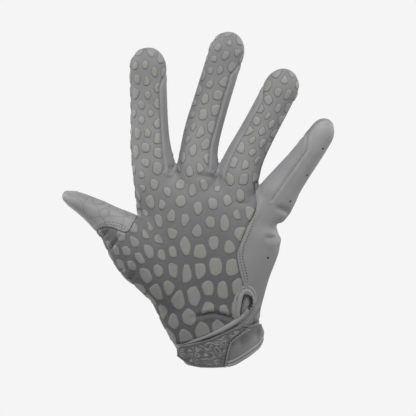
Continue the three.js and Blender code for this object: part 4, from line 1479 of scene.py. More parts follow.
# Cross-section of the strap's folded hem with its piping, and how it narrows round the wrist's side
STRAP_PIPING_PROFILE = [
    (3.5, 0.1), (3.0, 0.95), (2.55, 1.1), (2.1, 0.8), (1.75, 0.45), (1.3, 0.95), (0.6, 1.3), (-0.1, 1.0),
    (-0.55, 0.2), (-0.55, -0.8), (-0.1, -1.45), (0.9, -1.55), (1.1, -1.35), (0.2, -1.2), (-0.1, -0.7),
    (0.1, -0.1), (1.6, 0.05),
]
STRAP_PIPING_TURNS, STRAP_PIPING_SCALES = [2, 56, 76, 91], [1, 1, 0.6, 0.35]


def add_hem(angles, low):
    """The folded hem and piping along the strap's lower edge, beside the tab"""
    turn = np.degrees(angles)
    shown = (turn > STRAP_PIPING_TURNS[0]) & (turn < STRAP_PIPING_TURNS[-1])
    angles, low, turn = angles[shown], low[shown], turn[shown]
    scales = np.interp(turn, STRAP_PIPING_TURNS, STRAP_PIPING_SCALES)
    profile = rounded(STRAP_PIPING_PROFILE)
    places = np.stack([low, angles], -1)
    points = palm.surface(low, angles, BAND_TOP - low_lean(angles))
    add_piece("strap_piping_cloth", swept_mesh(points, palm_normals(places), profile, scales), binding_tape,
              "strap", ["strap_piping"])


# The patches: name, body, distance from the palm's surface and the height of their pile
PATCHES = (("loop_patch", "hand", LOOP_FOOT, 0.16), ("hook_patch", "strap", HOOK_FOOT, 0.12))
PATCH_ANGLES = np.arange(-62.0, 14, 0.75)


def add_patches():
    """The hook and loop patches under the strap's end"""
    for name, body, foot, size in PATCHES:
        angles = np.radians(PATCH_ANGLES)
        low, high = heights_in(patch_outline, angles, foot)
        held = ~np.isnan(low)
        angles, low, high = angles[held], low[held], high[held]
        across = np.linspace(0, 1, 29)[:, None]
        heights = low + (high - low) * across
        rough = draw.random(heights.shape) * size
        edge = (across > 0) & (across < 1)
        facing_strap = body == "hand"
        top = foot + FASTENER_THICKNESS + (rough if facing_strap else 0) * edge
        under = foot - (0 if facing_strap else rough) * edge
        add_band(name, heights, angles, top, under, PATCH_RADIUS, pile, body)


# How far the sewn end's face lies in from the strap's, and its box of stitches, as degrees round and
# millimetres up
SEWN_DROP = 0.25
SEWN_BOX = [(STRAP_HINGE + 6, 2.2), (STRAP_SEWN - 5, 2.2), (STRAP_SEWN - 5, 8.6), (STRAP_HINGE + 6, 6.4)]


def add_sewn_end():
    """The strap's end on the cuff, with its crossed box of stitches"""
    angles = np.radians(np.arange(STRAP_HINGE + 0.9, STRAP_SEWN + 0.1, 1.5))
    across = np.linspace(0, 1, 15)[:, None]
    top = SEWN_HEIGHTS[1] - 3.2 * smoothstep(132, 98, np.degrees(angles)) - 0.8
    heights = SEWN_HEIGHTS[0] + (top - SEWN_HEIGHTS[0]) * across
    soft = 0.45 * (1 - smoothstep(0, 0.14, across) * smoothstep(1, 0.86, across))
    last = 0.5 * smoothstep(math.radians(STRAP_SEWN - 4), math.radians(STRAP_SEWN), angles)
    leaning = top_lean(angles, top - heights)
    foot = np.maximum(LOOP_FOOT - leaning, 0.3)
    face = BAND_TOP - SEWN_DROP - soft - last - leaning
    add_band("strap_sewn_end", heights, angles, face, foot, STRAP_RADIUS, strap_leather,
             "hand")
    lines = list(zip(SEWN_BOX, SEWN_BOX[1:] + SEWN_BOX[:1])) + [SEWN_BOX[::2], SEWN_BOX[1::2]]
    for start, end in lines:
        share = np.linspace(0, 1, 25)[:, None]
        places = np.array([start]) * (1 - share) + np.array([end]) * share
        places = np.stack([places[:, 1], np.radians(places[:, 0])], -1)
        edge = np.interp(places[:, 1], angles, top)
        leaning = top_lean(places[:, 1], edge - places[:, 0])
        points = palm.surface(*places.T, BAND_TOP - SEWN_DROP - leaning)
        threads["hand"] += stitch_run(points, palm_normals(places), 2.0, 1.3, 0.24)


# The elastic's angles round the palm, lowest height, width, distances from the palm's surface, and ribs
ELASTIC_ANGLES = np.arange(118.5, 242, 1.0)
ELASTIC_FOOT, ELASTIC_WIDTH = 3.5, 6.0
ELASTIC_OUTER, ELASTIC_INNER = -WALL - 0.4, -WALL - 1.2
ELASTIC_RIBS = 6


def add_elastic():
    """The ribbed elastic inside the back of the cuff"""
    angles = np.radians(ELASTIC_ANGLES)
    across = np.linspace(0, 1, 25)[:, None]
    heights = ELASTIC_FOOT + ELASTIC_WIDTH * across + 0 * angles
    ribs = 0.12 * np.sin(across * ELASTIC_RIBS * 2 * math.pi) + 0.05 * np.sin(angles * 90)
    add_band("wrist_elastic", heights, angles, ELASTIC_OUTER, ELASTIC_INNER - ribs, ELASTIC_RADIUS,
             elastic_knit, "hand")


# Cross-sections, as places aside and outwards, of the cuff's piping and of its hem's binding
CUFF_PIPING_PROFILE = [
    (-1.15, -0.15), (-0.95, 0.6), (0, 1.0), (0.95, 0.6), (1.15, -0.15), (0.5, -1.5), (-0.5, -1.5),
]
CUFF_PIPING_SCALES = [0.45, 1.1, 1.3, 1.85, 1.8, 1.35, 1.0, 0.3, 0.9, 0.6]
HEM_PROFILE = [
    (3.25, 0.0), (3.0, 0.5), (2.2, 0.62), (1.0, 0.6), (0.1, 0.45), (-0.3, -0.2), (-0.35, -1.2),
    (0.1, -1.95), (1.5, -2.1), (2.9, -2.0), (3.2, -1.6),
]
HEM_ANGLES = np.arange(26, -317, -2.5)
HEM_STITCH_HEIGHT = 2.3


def piping_places():
    """The cuff piping's run: from the keyhole's right side along the flap and the rim, then round the back"""
    front = palm_places(curve_through(PIPING_LINE, 6))
    back = np.radians(np.arange(-62, -259, -3.0))
    steps = smoothstep(0, 1, np.linspace(0, 1, len(back)) * 3)
    height = front[-1, 0] + (CUFF_HEIGHT - front[-1, 0]) * steps
    return np.vstack([front[:-1], np.stack([height, back], -1)])


def add_cuff():
    """The cuff's piping, the binding of its hem and the stitches along that"""
    places = piping_places()
    points = palm.surface(*places.T)
    profile = rounded(CUFF_PIPING_PROFILE)
    front = len(piping_front)
    knots = [0, 8, 20, 29, 42, 52, front - 8, front, len(places) - 9, len(places) - 1]
    scales = np.interp(np.arange(len(places)), knots, CUFF_PIPING_SCALES)
    add_piece("cuff_piping_cloth", swept_mesh(points, palm_normals(places), profile, scales), binding_tape,
              "hand", ["cuff_piping"])
    angles = np.radians(HEM_ANGLES)
    places = np.stack([np.zeros_like(angles), angles], -1)
    profile = rounded(HEM_PROFILE)
    add_piece("cuff_hem_binding_cloth", swept_mesh(palm.surface(*places.T), palm_normals(places), profile),
              binding_tape, "hand", ["cuff_hem_binding"])
    places[:, 0] = HEM_STITCH_HEIGHT
    threads["hand"] += stitch_run(palm.surface(*places.T, 0.6), palm_normals(places), 2.4, 1.6, 0.22)


# The pull tab's edges as pixels, and its generic relief of waves
TAB_BOTTOM = [
    (175.8, 356), (181, 360), (187, 363.9), (193, 366.5), (200, 367.7), (212, 367.9), (226.5, 367.2),
]
TAB_RIGHT = [
    (226.5, 367.2), (228.2, 357), (230, 349), (231.8, 343.3), (238, 338), (245, 333.3), (251.3, 329),
]
TAB_TOP_EDGE = [
    (178.3, 346.5), (189, 345.2), (201.5, 341.8), (217, 336.6), (227.5, 331.7), (236, 327.8),
    (240, 327), (245, 327.6), (251.3, 329),
]
TAB_STEPS = (150, 76)
WAVE_HEIGHT = 0.5


def along_line(line, steps):
    """Evenly spaced places on a line"""
    line = np.asarray(line, float)
    run = np.concatenate([[0], np.cumsum(np.linalg.norm(np.diff(line, axis=0), axis=1))])
    at = np.linspace(0, run[-1], steps + 1)
    return np.stack([np.interp(at, run, line[:, k]) for k in range(line.shape[1])], -1)


def patch_between(bottom, right, top, left, steps):
    """A grid of places inside four edges"""
    u = np.linspace(0, 1, steps[0] + 1)[None, :, None]
    v = np.linspace(0, 1, steps[1] + 1)[:, None, None]
    bottom, top = along_line(bottom, steps[0]), along_line(top, steps[0])
    left, right = along_line(left, steps[1]), along_line(right, steps[1])
    corners = ((1 - u) * (1 - v) * bottom[0] + u * (1 - v) * bottom[-1]
               + (1 - u) * v * top[0] + u * v * top[-1])
    between = (1 - v) * bottom[None] + v * top[None] + (1 - u) * left[:, None] + u * right[:, None]
    return between - corners


def waves(across, up):
    """The height, 0 to 1, of short curling ridges at a place in millimetres"""
    warp = 2.6 * noise.noise(Vector((across / 5.5, up / 4.5, 2.0)))
    turn = 1.9 * noise.noise(Vector((across / 7.0, up / 5.0, 9.0)))
    ridge = math.sin(2 * math.pi * (up / 3.0 + warp + 0.13 * across * math.cos(turn)))
    broken = noise.noise(Vector((across / 3.4, up / 2.4, 5.0)))
    return max(0.0, 0.5 + 0.5 * ridge) ** 1.3 * (0.6 + 0.4 * min(1.0, max(-1.0, 2.2 * broken)))


def add_tab():
    """The moulded pull tab with its relief and rim, and the stitches beside its right edge"""
    edges = [TAB_BOTTOM, TAB_RIGHT, TAB_TOP_EDGE, [TAB_BOTTOM[0], TAB_TOP_EDGE[0]]]
    pixels = patch_between(*edges, TAB_STEPS)
    shape = pixels.shape[:2]
    places = palm_places(pixels.reshape(-1, 2), TAB_TOP)
    flat = np.stack(from_pixel(pixels.reshape(-1, 2).T), -1)
    flat_points = np.stack([flat[:, 0], 0 * flat[:, 0], flat[:, 1]], -1)
    lines = [np.stack(from_pixel(np.array(line, float).T), -1) for line in edges]
    from_edge = [np.abs(polyline_field(flat_points, line, False)[0]) for line in lines]
    nearest = np.min(from_edge, axis=0)
    relief = np.array([waves(*place) for place in flat]) * smoothstep(1.2, 2.2, nearest)
    relief *= smoothstep(1.9, 3.2, from_edge[1])
    rim = 0.32 * smoothstep(1.5, 1.1, from_edge[1]) + 0.22 * smoothstep(1.0, 0.7, from_edge[0])
    edge = -0.45 * smoothstep(0.5, 0, nearest)
    leaning = end_lean(places[:, 1], np.repeat(np.linspace(0, 1, shape[0]), shape[1]))
    top = TAB_TOP - WAVE_HEIGHT + relief * WAVE_HEIGHT + rim + edge - leaning
    outer = palm.surface(*places.T, top).reshape(*shape, 3)
    under = TAB_FOOT + 0.2 * smoothstep(0.5, 0, nearest) - leaning
    inner = palm.surface(*places.T, under).reshape(*shape, 3)
    piece = add_piece("pull_tab_cloth", slab_mesh(outer, inner), tab_rubber, "strap",
                      ["pull_tab"], np.vstack([flat, flat]))
    # The relief mark paints shade into the tab's hollows and edges and a highlight on its ridges and rim
    mark_points(piece.data, "relief", np.concatenate([np.clip(relief + 1.6 * rim, 0, 1), 0 * relief]))
    inset = along_line([(x - 2.4, y - (1.2 if y < 343 else 0)) for x, y in TAB_RIGHT[:-1]], 60)
    inset = palm_places(inset, TAB_TOP)
    dark_threads["strap"] += stitch_run(palm.surface(*inset.T, TAB_TOP - WAVE_HEIGHT), palm_normals(inset),
                                        1.9, 1.2, 0.34, 0.2)


# The keyhole's binding: an inner rolled edge, a second ridge round it, and the underlap seen through it
INNER_ROLL = [
    (238.4, 317.3), (238, 311.6), (238.8, 304.6), (240.4, 296.8), (243.2, 292), (247, 290.2),
    (250.6, 292.8), (252.6, 297.5), (253, 302.5), (252, 306),
]
OUTER_RIDGE = [
    (233.4, 317), (233.6, 310.8), (233.9, 304.6), (236.4, 295.8), (239.8, 289.9), (244.4, 286.8),
    (249.2, 286.7), (252.8, 289.6), (254.9, 294), (255.4, 299), (254.8, 303),
]
INNER_WIDTHS = [1.2, 1.45, 1.6, 1.6, 1.4, 1.35, 1.3, 1.25, 1.15, 0.8]
OUTER_WIDTHS = [0.85] * 11
ROLL_PROFILE = [(-1, -0.2), (-0.75, 0.45), (0, 0.75), (0.75, 0.45), (1, -0.2), (0, -0.6)]
THREAD_RADIUS = 0.42
# The stretch of the keyhole's edge with overlock stitches, and the points of the edge to a stitch
OVERLOCK_SHARES = (0.62, 0.86)
OVERLOCK_STEP = 4
# The underlap's corners as pixels, its steps, how far it lies under the cuff's fabric and its thickness
UNDERLAP = ((234.5, 288.0), (256.5, 322.0))
UNDERLAP_STEPS = (23, 31)
UNDERLAP_SUNK, UNDERLAP_THICKNESS = 0.5, 0.8


def add_keyhole():
    """The keyhole's binding, its overlock thread and the underlap"""
    parts = []
    for line, widths, rise in ((INNER_ROLL, INNER_WIDTHS, 1.0), (OUTER_RIDGE, OUTER_WIDTHS, 0.85)):
        places = palm_places(curve_through(line, 6))
        scales = np.interp(np.linspace(0, 1, len(places)), np.linspace(0, 1, len(widths)), widths)
        scales[0] *= 0.5
        scales[-1] *= 0.5
        profile = rounded(ROLL_PROFILE)
        parts.append(swept_mesh(palm.surface(*places.T), palm_normals(places), profile * (1, rise), scales))
    add_piece("keyhole_binding_cloth", joined(parts), binding_tape, "hand",
              ["keyhole_binding"])
    edge = palm_places(curve_through(KEYHOLE + KEYHOLE[:1], 6)[:-1])
    points, normals = palm.surface(*edge.T, -0.1), palm_normals(edge)
    ring = [(math.cos(a) * THREAD_RADIUS, math.sin(a) * THREAD_RADIUS) for a in np.arange(8) * math.pi / 4]
    first, last = (int(share * len(points)) for share in OVERLOCK_SHARES)
    steps = np.arange(len(points))
    thicker = 1 + 1.1 * smoothstep(first - 6, first + 4, steps) * smoothstep(last + 4, last - 6, steps)
    dark_threads["hand"].append(swept_mesh(points, normals, ring, thicker, closed=True))
    middle = points.mean(0)
    for i in range(first, last, OVERLOCK_STEP):
        away = points[i] - middle
        away -= normals[i] * (away @ normals[i])
        away /= np.linalg.norm(away)
        spike = points[i] + normals[i] * 0.95 + np.outer([-0.5, 0.2, 0.8, 1.3], away)
        dark_threads["hand"].append(swept_mesh(spike, np.tile(normals[i], (4, 1)), np.array(ring) * 1.7,
                                               (0.7, 1.1, 0.9, 0.4)))
    (x0, y0), (x1, y1) = UNDERLAP
    columns, rows = UNDERLAP_STEPS
    grid = np.stack(np.meshgrid(np.linspace(x0, x1, columns), np.linspace(y1, y0, rows)), -1)
    places = palm_places(grid.reshape(-1, 2))
    across = (grid[..., 0] - x0) / (x1 - x0)
    sunk = (-WALL - UNDERLAP_SUNK - 0.5 * np.cos((across - 0.5) * 2 * math.pi) ** 2 * 0.4).ravel()
    outer = palm.surface(*places.T, sunk).reshape(*grid.shape[:2], 3)
    inner = palm.surface(*places.T, sunk - UNDERLAP_THICKNESS).reshape(*grid.shape[:2], 3)
    place = np.stack(from_pixel(grid.reshape(-1, 2).T), -1)
    add_piece("keyhole_underlap", slab_mesh(outer, inner), back_knit, "hand", [],
              np.vstack([place, place]))


# Stitches and punched marks on the skin

STITCH_LENGTH = 0.9
# Each run: its line of pixels, its pitch and the thread's half width
THREAD_RUNS = {
    "hand": [
        ([(255, 206.5), (251.8, 217), (247, 230), (241.5, 242.5), (239.9, 250), (239.9, 258), (241.6, 266),
          (244, 276), (244.8, 284)], 1.9, 0.4),
        ([(257.8, 208.5), (254.3, 219), (249.8, 231.5), (244.3, 244), (242.7, 251), (242.6, 258),
          (244.4, 265.5), (246.8, 275), (247.4, 283.5)], 1.9, 0.4),
    ],
    "thumb": [
        ([(96, 228.6), (101.5, 225.6), (107.3, 224), (114, 224.6), (121, 226.6), (127, 229.6)], 1.8, 0.26),
        ([(97.2, 226.2), (102.2, 223.4), (107.5, 221.8), (114.2, 222.3), (121.3, 224.3), (127.5, 227.2)],
         1.8, 0.26),
    ],
}
# The punched marks' middles as pixels, and the height and radius of a mark's rings
PUNCHED = {"little": [(322.6, 148.9), (307.2, 175.2), (290.2, 201.4)], "hand": [(267.8, 257.7)]}
MARK_HEIGHTS, MARK_RADII = (0.02, 0.12, 0.05), (0.8, 0.62, 0.2)
MARK_POINTS = 12
SKIN_LIFT = 0.35
RAY_START = -200
threads = {body: [] for body in ("hand", "strap", *DIGITS)}
dark_threads = {"hand": [], "strap": []}


def on_skin(pixels):
    """Points and outward directions of the skin under pixels, seen from the palm side"""
    points, normals = [], []
    for pixel in pixels:
        across, up = from_pixel(pixel)
        place, normal, _, _ = skin_tree.ray_cast(Vector((across, RAY_START, up)), Vector((0, 1, 0)))
        if place is not None:
            points.append(place)
            normals.append(normal if normal.y < 0 else -normal)
    return np.array(points, float), np.array(normals, float)


def add_thread_runs():
    for body, runs in THREAD_RUNS.items():
        for line, pitch, half_width in runs:
            points, normals = on_skin(curve_through(line, 8))
            points = points + normals * SKIN_LIFT
            threads[body] += stitch_run(points, normals, pitch, STITCH_LENGTH, half_width)


def add_punched(body, pixels):
    """Small round marks on the skin"""
    parts = []
    for pixel in pixels:
        (point,), (normal,) = on_skin([pixel])
        middles = np.stack([normal * height for height in MARK_HEIGHTS]) + point
        aside = np.cross(normal, (0.3, 0.1, 0.9))
        aside /= np.linalg.norm(aside)
        other = np.cross(normal, aside)
        turns = np.arange(MARK_POINTS) * 2 * math.pi / MARK_POINTS
        rings = [middle + radius * (np.outer(np.cos(turns), aside) + np.outer(np.sin(turns), other))
                 for middle, radius in zip(middles, MARK_RADII)]
        parts.append((np.vstack(rings), ring_faces(len(rings), MARK_POINTS)))
    add_piece(f"{body}_punched_marks", joined(parts), dark_thread, body)


def add_threads():
    for body, parts in threads.items():
        if parts:
            add_piece(f"{body}_stitches", joined(parts), thread, body)
    add_piece("keyhole_overlock", joined(dark_threads["hand"]), dark_thread, "hand")
    add_piece("tab_stitches", joined(dark_threads["strap"]), dark_thread, "strap")


skin_tree = BVHTree.FromPolygons(skin.points.tolist(), skin.faces.tolist())
strap_leather = grain_finish("strap_leather", 0x606062, 0x6a6a6b, 0x4c4c4d, 0.5, 0.9)
binding_tape = knit_finish("binding_tape", 0x787879, 0x868687, 0x585859, 0.55, 0.2, True, 0.05)
elastic_knit = knit_finish("elastic_knit", 0x6e6f73, 0x7b7c80, 0x505155, 0.9, 0.3, True, 0.1)
tab_rubber = grain_finish("tab_rubber", 0x5c5c5c, 0x666666, 0x505050, 0.45, 0.8)
# Painted shade in the tab's hollows and painted highlight on its ridges and rim
paint_relief_shade(tab_rubber, 0x3c3c3d, 0x8c8c8a)
pile = grain_finish("pile", 0x56575a, 0x6a6b6e, 0x505050, 0.9, 0.6, sheen=0.4)
thread = grain_finish("thread", 0x3c3d3f, 0x474849, 0x343434, 0.7, 0.3)
dark_thread = grain_finish("dark_thread", 0x141414, 0x1c1c1c, 0x101010, 0.7, 0.3)

add_hem(*add_strap())
add_patches()
add_sewn_end()
add_elastic()
add_cuff()
add_tab()
add_keyhole()
add_thread_runs()
for body, pixels in PUNCHED.items():
    add_punched(body, pixels)
add_threads()


# Raised grip print: rounded cells that grow towards the heel of the palm

# Throws on an area of CANDIDATES_AREA, in square millimetres, and the rounds that even the cells' places
CANDIDATES = 60000
CANDIDATES_AREA = 60000
EVENING_ROUNDS = 3
# How near two cells may start, how far a cell's neighbours reach, both as shares of the spacing, and the
# stretch of a digit's cells
NEAREST_START, NEIGHBOUR_REACH = 0.8, 2.4
DIGIT_RATIO = 1.35
FINGER_SPACING, THUMB_SPACING = 8.7, 9.0
THUMB_WAY = (-0.35, 0, 0.94)
CELL_POINTS = 26
# Height on the palm, spacing of the cells and the share of a cell that the print fills
PRINT_ROWS = [
    (12, 13.0, 0.74), (35, 13.2, 0.76), (52, 12.4, 0.69), (75, 11.6, 0.61), (112, 10.4, 0.6),
    (125, 8.8, 0.6),
]
# By the palm's edge at the thumb's side, places across and up, the cells are tighter, longer and more tilted
EDGE_ACROSS, EDGE_UP = (-36, -50), (112, 100)
EDGE_TIGHTER = 0.25
PALM_RATIO, EDGE_RATIO = 1.32, 0.4
PALM_TILT, EDGE_TILT = 8, 16
# A cell starts as a polygon of START_POINTS, with a radius that grows with its filled share, is rounded
# towards its mean radius, and bulges twice and three times round it
START_POINTS, START_RADIUS = 20, 0.6
RADIUS_BASE, RADIUS_BY_SHARE = 0.55, 0.5
UNEVEN_GAPS = (0.8, 1.25)
ROUNDING = 0.45
BULGES = ((2, 0.05), (3, 0.035))
FULL_PHASE = 6.3


def print_scale(points):
    """Spacing, filled share, and the direction and ratio of the cells' stretch, at places of the skin"""
    rows = np.array(PRINT_ROWS, float)
    spacing = np.interp(points[:, 2], rows[:, 0], rows[:, 1])
    share = np.interp(points[:, 2], rows[:, 0], rows[:, 2])
    edge = smoothstep(*EDGE_ACROSS, points[:, 0]) * smoothstep(*EDGE_UP, points[:, 2])
    spacing = spacing * (1 - EDGE_TIGHTER * edge)
    ratio = PALM_RATIO + EDGE_RATIO * edge
    tilt = np.radians(PALM_TILT + EDGE_TILT * edge)
    way = np.stack([-np.sin(tilt), 0 * tilt, np.cos(tilt)], -1)
    owner = owner_of(table_of(points))
    for name in DIGITS:
        mine = owner == LIMB_NAMES.index(name)
        limb = digits[name]
        way[mine] = limb.along[len(limb.along) // 2] if name != "thumb" else THUMB_WAY
        spacing[mine] = FINGER_SPACING if name != "thumb" else THUMB_SPACING
        ratio[mine] = DIGIT_RATIO
    return spacing, share, way, ratio


def scatter(faces):
    """Even places for the cells on some faces of the skin, by throwing and then evening them"""
    corners = skin.points[faces]
    area = np.linalg.norm(np.cross(corners[:, 1] - corners[:, 0], corners[:, 2] - corners[:, 0]), axis=1)
    count = int(CANDIDATES * min(1.0, area.sum() / CANDIDATES_AREA))
    picked = corners[draw.choice(len(faces), count, p=area / area.sum())]
    first, second = picked[:, 1] - picked[:, 0], picked[:, 2] - picked[:, 0]
    share = draw.random((count, 2))
    share = np.where(share.sum(1, keepdims=True) > 1, 1 - share, share)
    throws = picked[:, 0] + share[:, :1] * first + share[:, 1:] * second
    spacing, _, way, ratio = print_scale(throws)
    weight = np.sqrt(ratio)[:, None]

    def apart(k, others):
        rel = others - throws[k]
        level = rel @ way[k]
        beside_it = np.maximum((rel ** 2).sum(1) - level ** 2, 0)
        return np.sqrt((level / weight[k]) ** 2 + beside_it * weight[k] ** 2)

    sites = []
    for k in range(count):
        if not sites or apart(k, np.array(sites)).min() > spacing[k] * NEAREST_START:
            sites.append(throws[k])
    sites = np.array(sites)
    for _ in range(EVENING_ROUNDS):
        nearest = np.empty(count, int)
        for rows in np.array_split(np.arange(count), 40):
            rel = sites[None] - throws[rows, None]
            level = np.einsum("nsk,nk->ns", rel, way[rows])
            nearest[rows] = ((level / weight[rows]) ** 2
                             + ((rel ** 2).sum(2) - level ** 2) * weight[rows] ** 2).argmin(1)
        for k in range(3):
            sites[:, k] = np.bincount(nearest, throws[:, k], len(sites)) / np.maximum(
                np.bincount(nearest, minlength=len(sites)), 1)
        sites = np.array([skin_tree.find_nearest(Vector(site))[0] for site in sites], float)
    return sites


def clipped(polygon, normal, reach):
    """A convex polygon cut off beyond a distance along a direction"""
    level = polygon @ normal - reach
    made = []
    for k in range(len(polygon)):
        j = (k + 1) % len(polygon)
        if level[k] <= 0:
            made.append(polygon[k])
        if level[k] * level[j] < 0:
            made.append(polygon[k] + (polygon[j] - polygon[k]) * level[k] / (level[k] - level[j]))
    return np.array(made).reshape(-1, 2)


def cell_outline(place, neighbours, axes, spacing, share, ratio):
    """The cell's rounded outline in its tangent plane"""
    stretch = np.array([1 / math.sqrt(ratio), math.sqrt(ratio)])
    flat = (neighbours - place) @ axes.T / stretch
    share = 1 - (1 - share) * draw.uniform(*UNEVEN_GAPS)
    turns = np.arange(START_POINTS) * 2 * math.pi / START_POINTS
    outline = np.stack([np.cos(turns), np.sin(turns)], -1) * spacing * START_RADIUS
    outline = outline * (RADIUS_BASE + RADIUS_BY_SHARE * share)
    for other in flat:
        distance = np.linalg.norm(other)
        if 1e-6 < distance < NEIGHBOUR_REACH * spacing:
            outline = clipped(outline, other / distance, distance / 2 - spacing * (1 - share) / 2)
        if len(outline) < 3:
            return None
    outline = along_line(np.vstack([outline, outline[:1]]), CELL_POINTS)[:-1]
    middle = outline.mean(0)
    size = np.linalg.norm(outline - middle, axis=1, keepdims=True)
    outline = middle + (outline - middle) * (1 - ROUNDING + ROUNDING * size.mean() / size)
    bulge = np.arange(CELL_POINTS)[:, None] * 2 * math.pi / CELL_POINTS
    swell = 1
    for times, amount in BULGES:
        swell = swell + amount * np.sin(times * bulge + draw.uniform(0, FULL_PHASE))
    outline = middle + (outline - middle) * swell
    for _ in range(2):
        after = np.roll(outline, -1, axis=0)
        outline = np.stack([outline * 0.75 + after * 0.25, outline * 0.25 + after * 0.75], 1).reshape(-1, 2)
    outline = along_line(np.vstack([outline, outline[:1]]), CELL_POINTS)[:-1]
    return outline * stretch


# Rings of a printed cell: distance inside its outline, height over the skin, and how dark its edge is
# painted, as the shadow where the cell meets the knit
CELL_RINGS = [
    (-0.42, -0.08, 1.0), (-0.36, 0.06, 1.0), (-0.05, 0.12, 0.8), (0.12, 0.34, 0.0), (0.5, 0.45, 0.0),
    (1.6, 0.48, 0.0),
]
CORE_SHARES = (0.78, 0.6, 0.42, 0.24)
CORE_RISE = 0.5
PRINT_HEADROOM = 3.0
# Cosine of the sharpest turn of the skin under a cell, its least mean and least single radius, and how
# far outside its outline the panel must go on
SHARPEST_BEND = 0.6
LEAST_MEAN, LEAST_RADIUS = 1.3, 0.4
PANEL_MARGIN = 0.4
# How far inside the panel's edge a cell stops, the halvings that find the edge, and the least share of a
# spoke that is kept there
EDGE_STOP, EDGE_HALVINGS, LEAST_KEPT = 0.5, 6, 0.05
# The deepest ring and the least core, as shares of the mean radius, the least share of a spoke for a ring,
# and the least spoke that an inset is measured by
DEEPEST_RING, LEAST_CORE, LEAST_SHARE, LEAST_SPOKE = 0.8, 0.3, 0.15, 0.3
FOLD_LINES = [pixel_curve(fold[0]) for fold in FOLDS + RIDGES[:2]]
FOLD_MARGIN = 0.9


def skin_at(spot, face):
    """A spot of the skin, its smooth outward direction there and the face"""
    out = print_normals[skin.faces[face]].mean(0)
    return np.array(spot), out / np.linalg.norm(out), face


def nearest_skin(point):
    """The skin's nearest spot, with its direction and face"""
    spot, _, face, _ = skin_tree.find_nearest(Vector(point))
    return skin_at(spot, face)


def laid_on_skin(centre, normal, offset):
    """The skin under a place beside a cell's centre, with its direction and face"""
    start = Vector(centre + offset + normal * PRINT_HEADROOM)
    spot, _, face, _ = skin_tree.ray_cast(start, Vector(-normal), 2 * PRINT_HEADROOM)
    if spot is None:
        return nearest_skin(centre + offset)
    return skin_at(spot, face)


def own_side(centre, spokes):
    """How much of each spoke of a cell stays on the cell's own side of the folds"""
    reach = np.ones(len(spokes))
    size = np.linalg.norm(spokes, axis=1)
    for line in FOLD_LINES:
        level, share = polyline_field(np.vstack([centre, centre + spokes]), line)
        if abs(level[0]) < size.max() and 0 < share[0] < 1:
            crossing = level[1:] * level[0] < 0
            kept = level[0] / (level[0] - np.where(crossing, level[1:], 0)) - FOLD_MARGIN / size
            reach = np.where(crossing, np.minimum(reach, np.maximum(kept, 0.02)), reach)
    return reach


def printed_cell(place, outline, axes, allowed):
    """The mesh of one printed cell, laid on the skin and stopped at the panel's edge"""
    middle = outline.mean(0)
    centre = place + middle @ axes
    centre, normal, face = nearest_skin(centre)
    if not allowed[face]:
        return None
    spokes = (outline - middle) @ axes
    bends = [laid_on_skin(centre, normal, spoke)[1] @ normal for spoke in spokes[::2]]
    if min(bends) < SHARPEST_BEND:
        return None
    size = np.linalg.norm(spokes, axis=1)
    reach = own_side(centre, spokes)
    for k, spoke in enumerate(spokes):
        low, high = 0.0, 1 + PANEL_MARGIN / size[k]
        if not allowed[laid_on_skin(centre, normal, spoke * high)[2]]:
            for _ in range(EDGE_HALVINGS):
                middle_share = (low + high) / 2
                inside_it = allowed[laid_on_skin(centre, normal, spoke * middle_share)[2]]
                low, high = (middle_share, high) if inside_it else (low, middle_share)
            reach[k] = min(reach[k], max(LEAST_KEPT, low - EDGE_STOP / size[k]))
    size = size * reach
    if size.mean() < LEAST_MEAN or size.min() < LEAST_RADIUS:
        return None
    points, dark = [], []
    inner = 1 - CELL_RINGS[-1][0] / size.mean()
    deepest = DEEPEST_RING * size.mean()
    rings = [(inset, None, rise, edge) for inset, rise, edge in CELL_RINGS if inset < deepest]
    rings += [(0, share * inner, CORE_RISE, 0.0) for share in CORE_SHARES if inner > LEAST_CORE]
    for inset, core, rise, edge in rings:
        for k, spoke in enumerate(spokes):
            share = max(LEAST_SHARE, 1 - inset / max(size[k], LEAST_SPOKE)) if core is None else core
            spot, out, _ = laid_on_skin(centre, normal, spoke * (reach[k] * share))
            points.append(spot + out * rise)
            dark.append(edge)
    points.append(centre + normal * CORE_RISE)
    dark.append(0)
    count, rings = len(spokes), len(rings)
    faces = [tuple(range(count))[::-1]]
    for ring in range(rings - 1):
        low, high = ring * count, (ring + 1) * count
        faces += [(low + k, low + (k + 1) % count, high + (k + 1) % count, high + k) for k in range(count)]
    last = (rings - 1) * count
    faces += [(last + k, last + (k + 1) % count, rings * count) for k in range(count)]
    return np.array(points), faces, dark


def add_print():
    """The printed cells of the hand and of each printed stall, one piece for each body"""
    groups = {}
    allowed = np.isin(labels, GROUPS[0])
    sites = scatter(skin.faces[allowed])
    spacing, share, way, ratio = print_scale(sites)
    owners = owner_of(table_of(sites))
    for k, place in enumerate(sites):
        _, normal, _ = nearest_skin(place)
        across = np.cross(way[k], normal)
        across /= np.linalg.norm(across)
        axes = np.stack([across, np.cross(normal, across)])
        near = np.linalg.norm(sites - place, axis=1)
        neighbours = sites[(near > 0) & (near < NEIGHBOUR_REACH * spacing[k])]
        outline = cell_outline(place, neighbours, axes, spacing[k], share[k], ratio[k])
        cell = None if outline is None else printed_cell(place, outline, axes, allowed)
        if cell is not None:
            groups.setdefault(LIMB_NAMES[owners[k]], []).append(cell)
    for name, cells in groups.items():
        body = "hand" if name == "palm" else name
        mesh = joined([cell[:2] for cell in cells])
        piece = add_piece(f"{body}_print", mesh, grip_print, body)
        # The seam mark paints a shadow round each cell's edge
        mark_points(piece.data, "seam", np.concatenate([cell[2] for cell in cells]))


print_normals = smoothed(skin_normals, skin.faces, 3, swell=0.5)
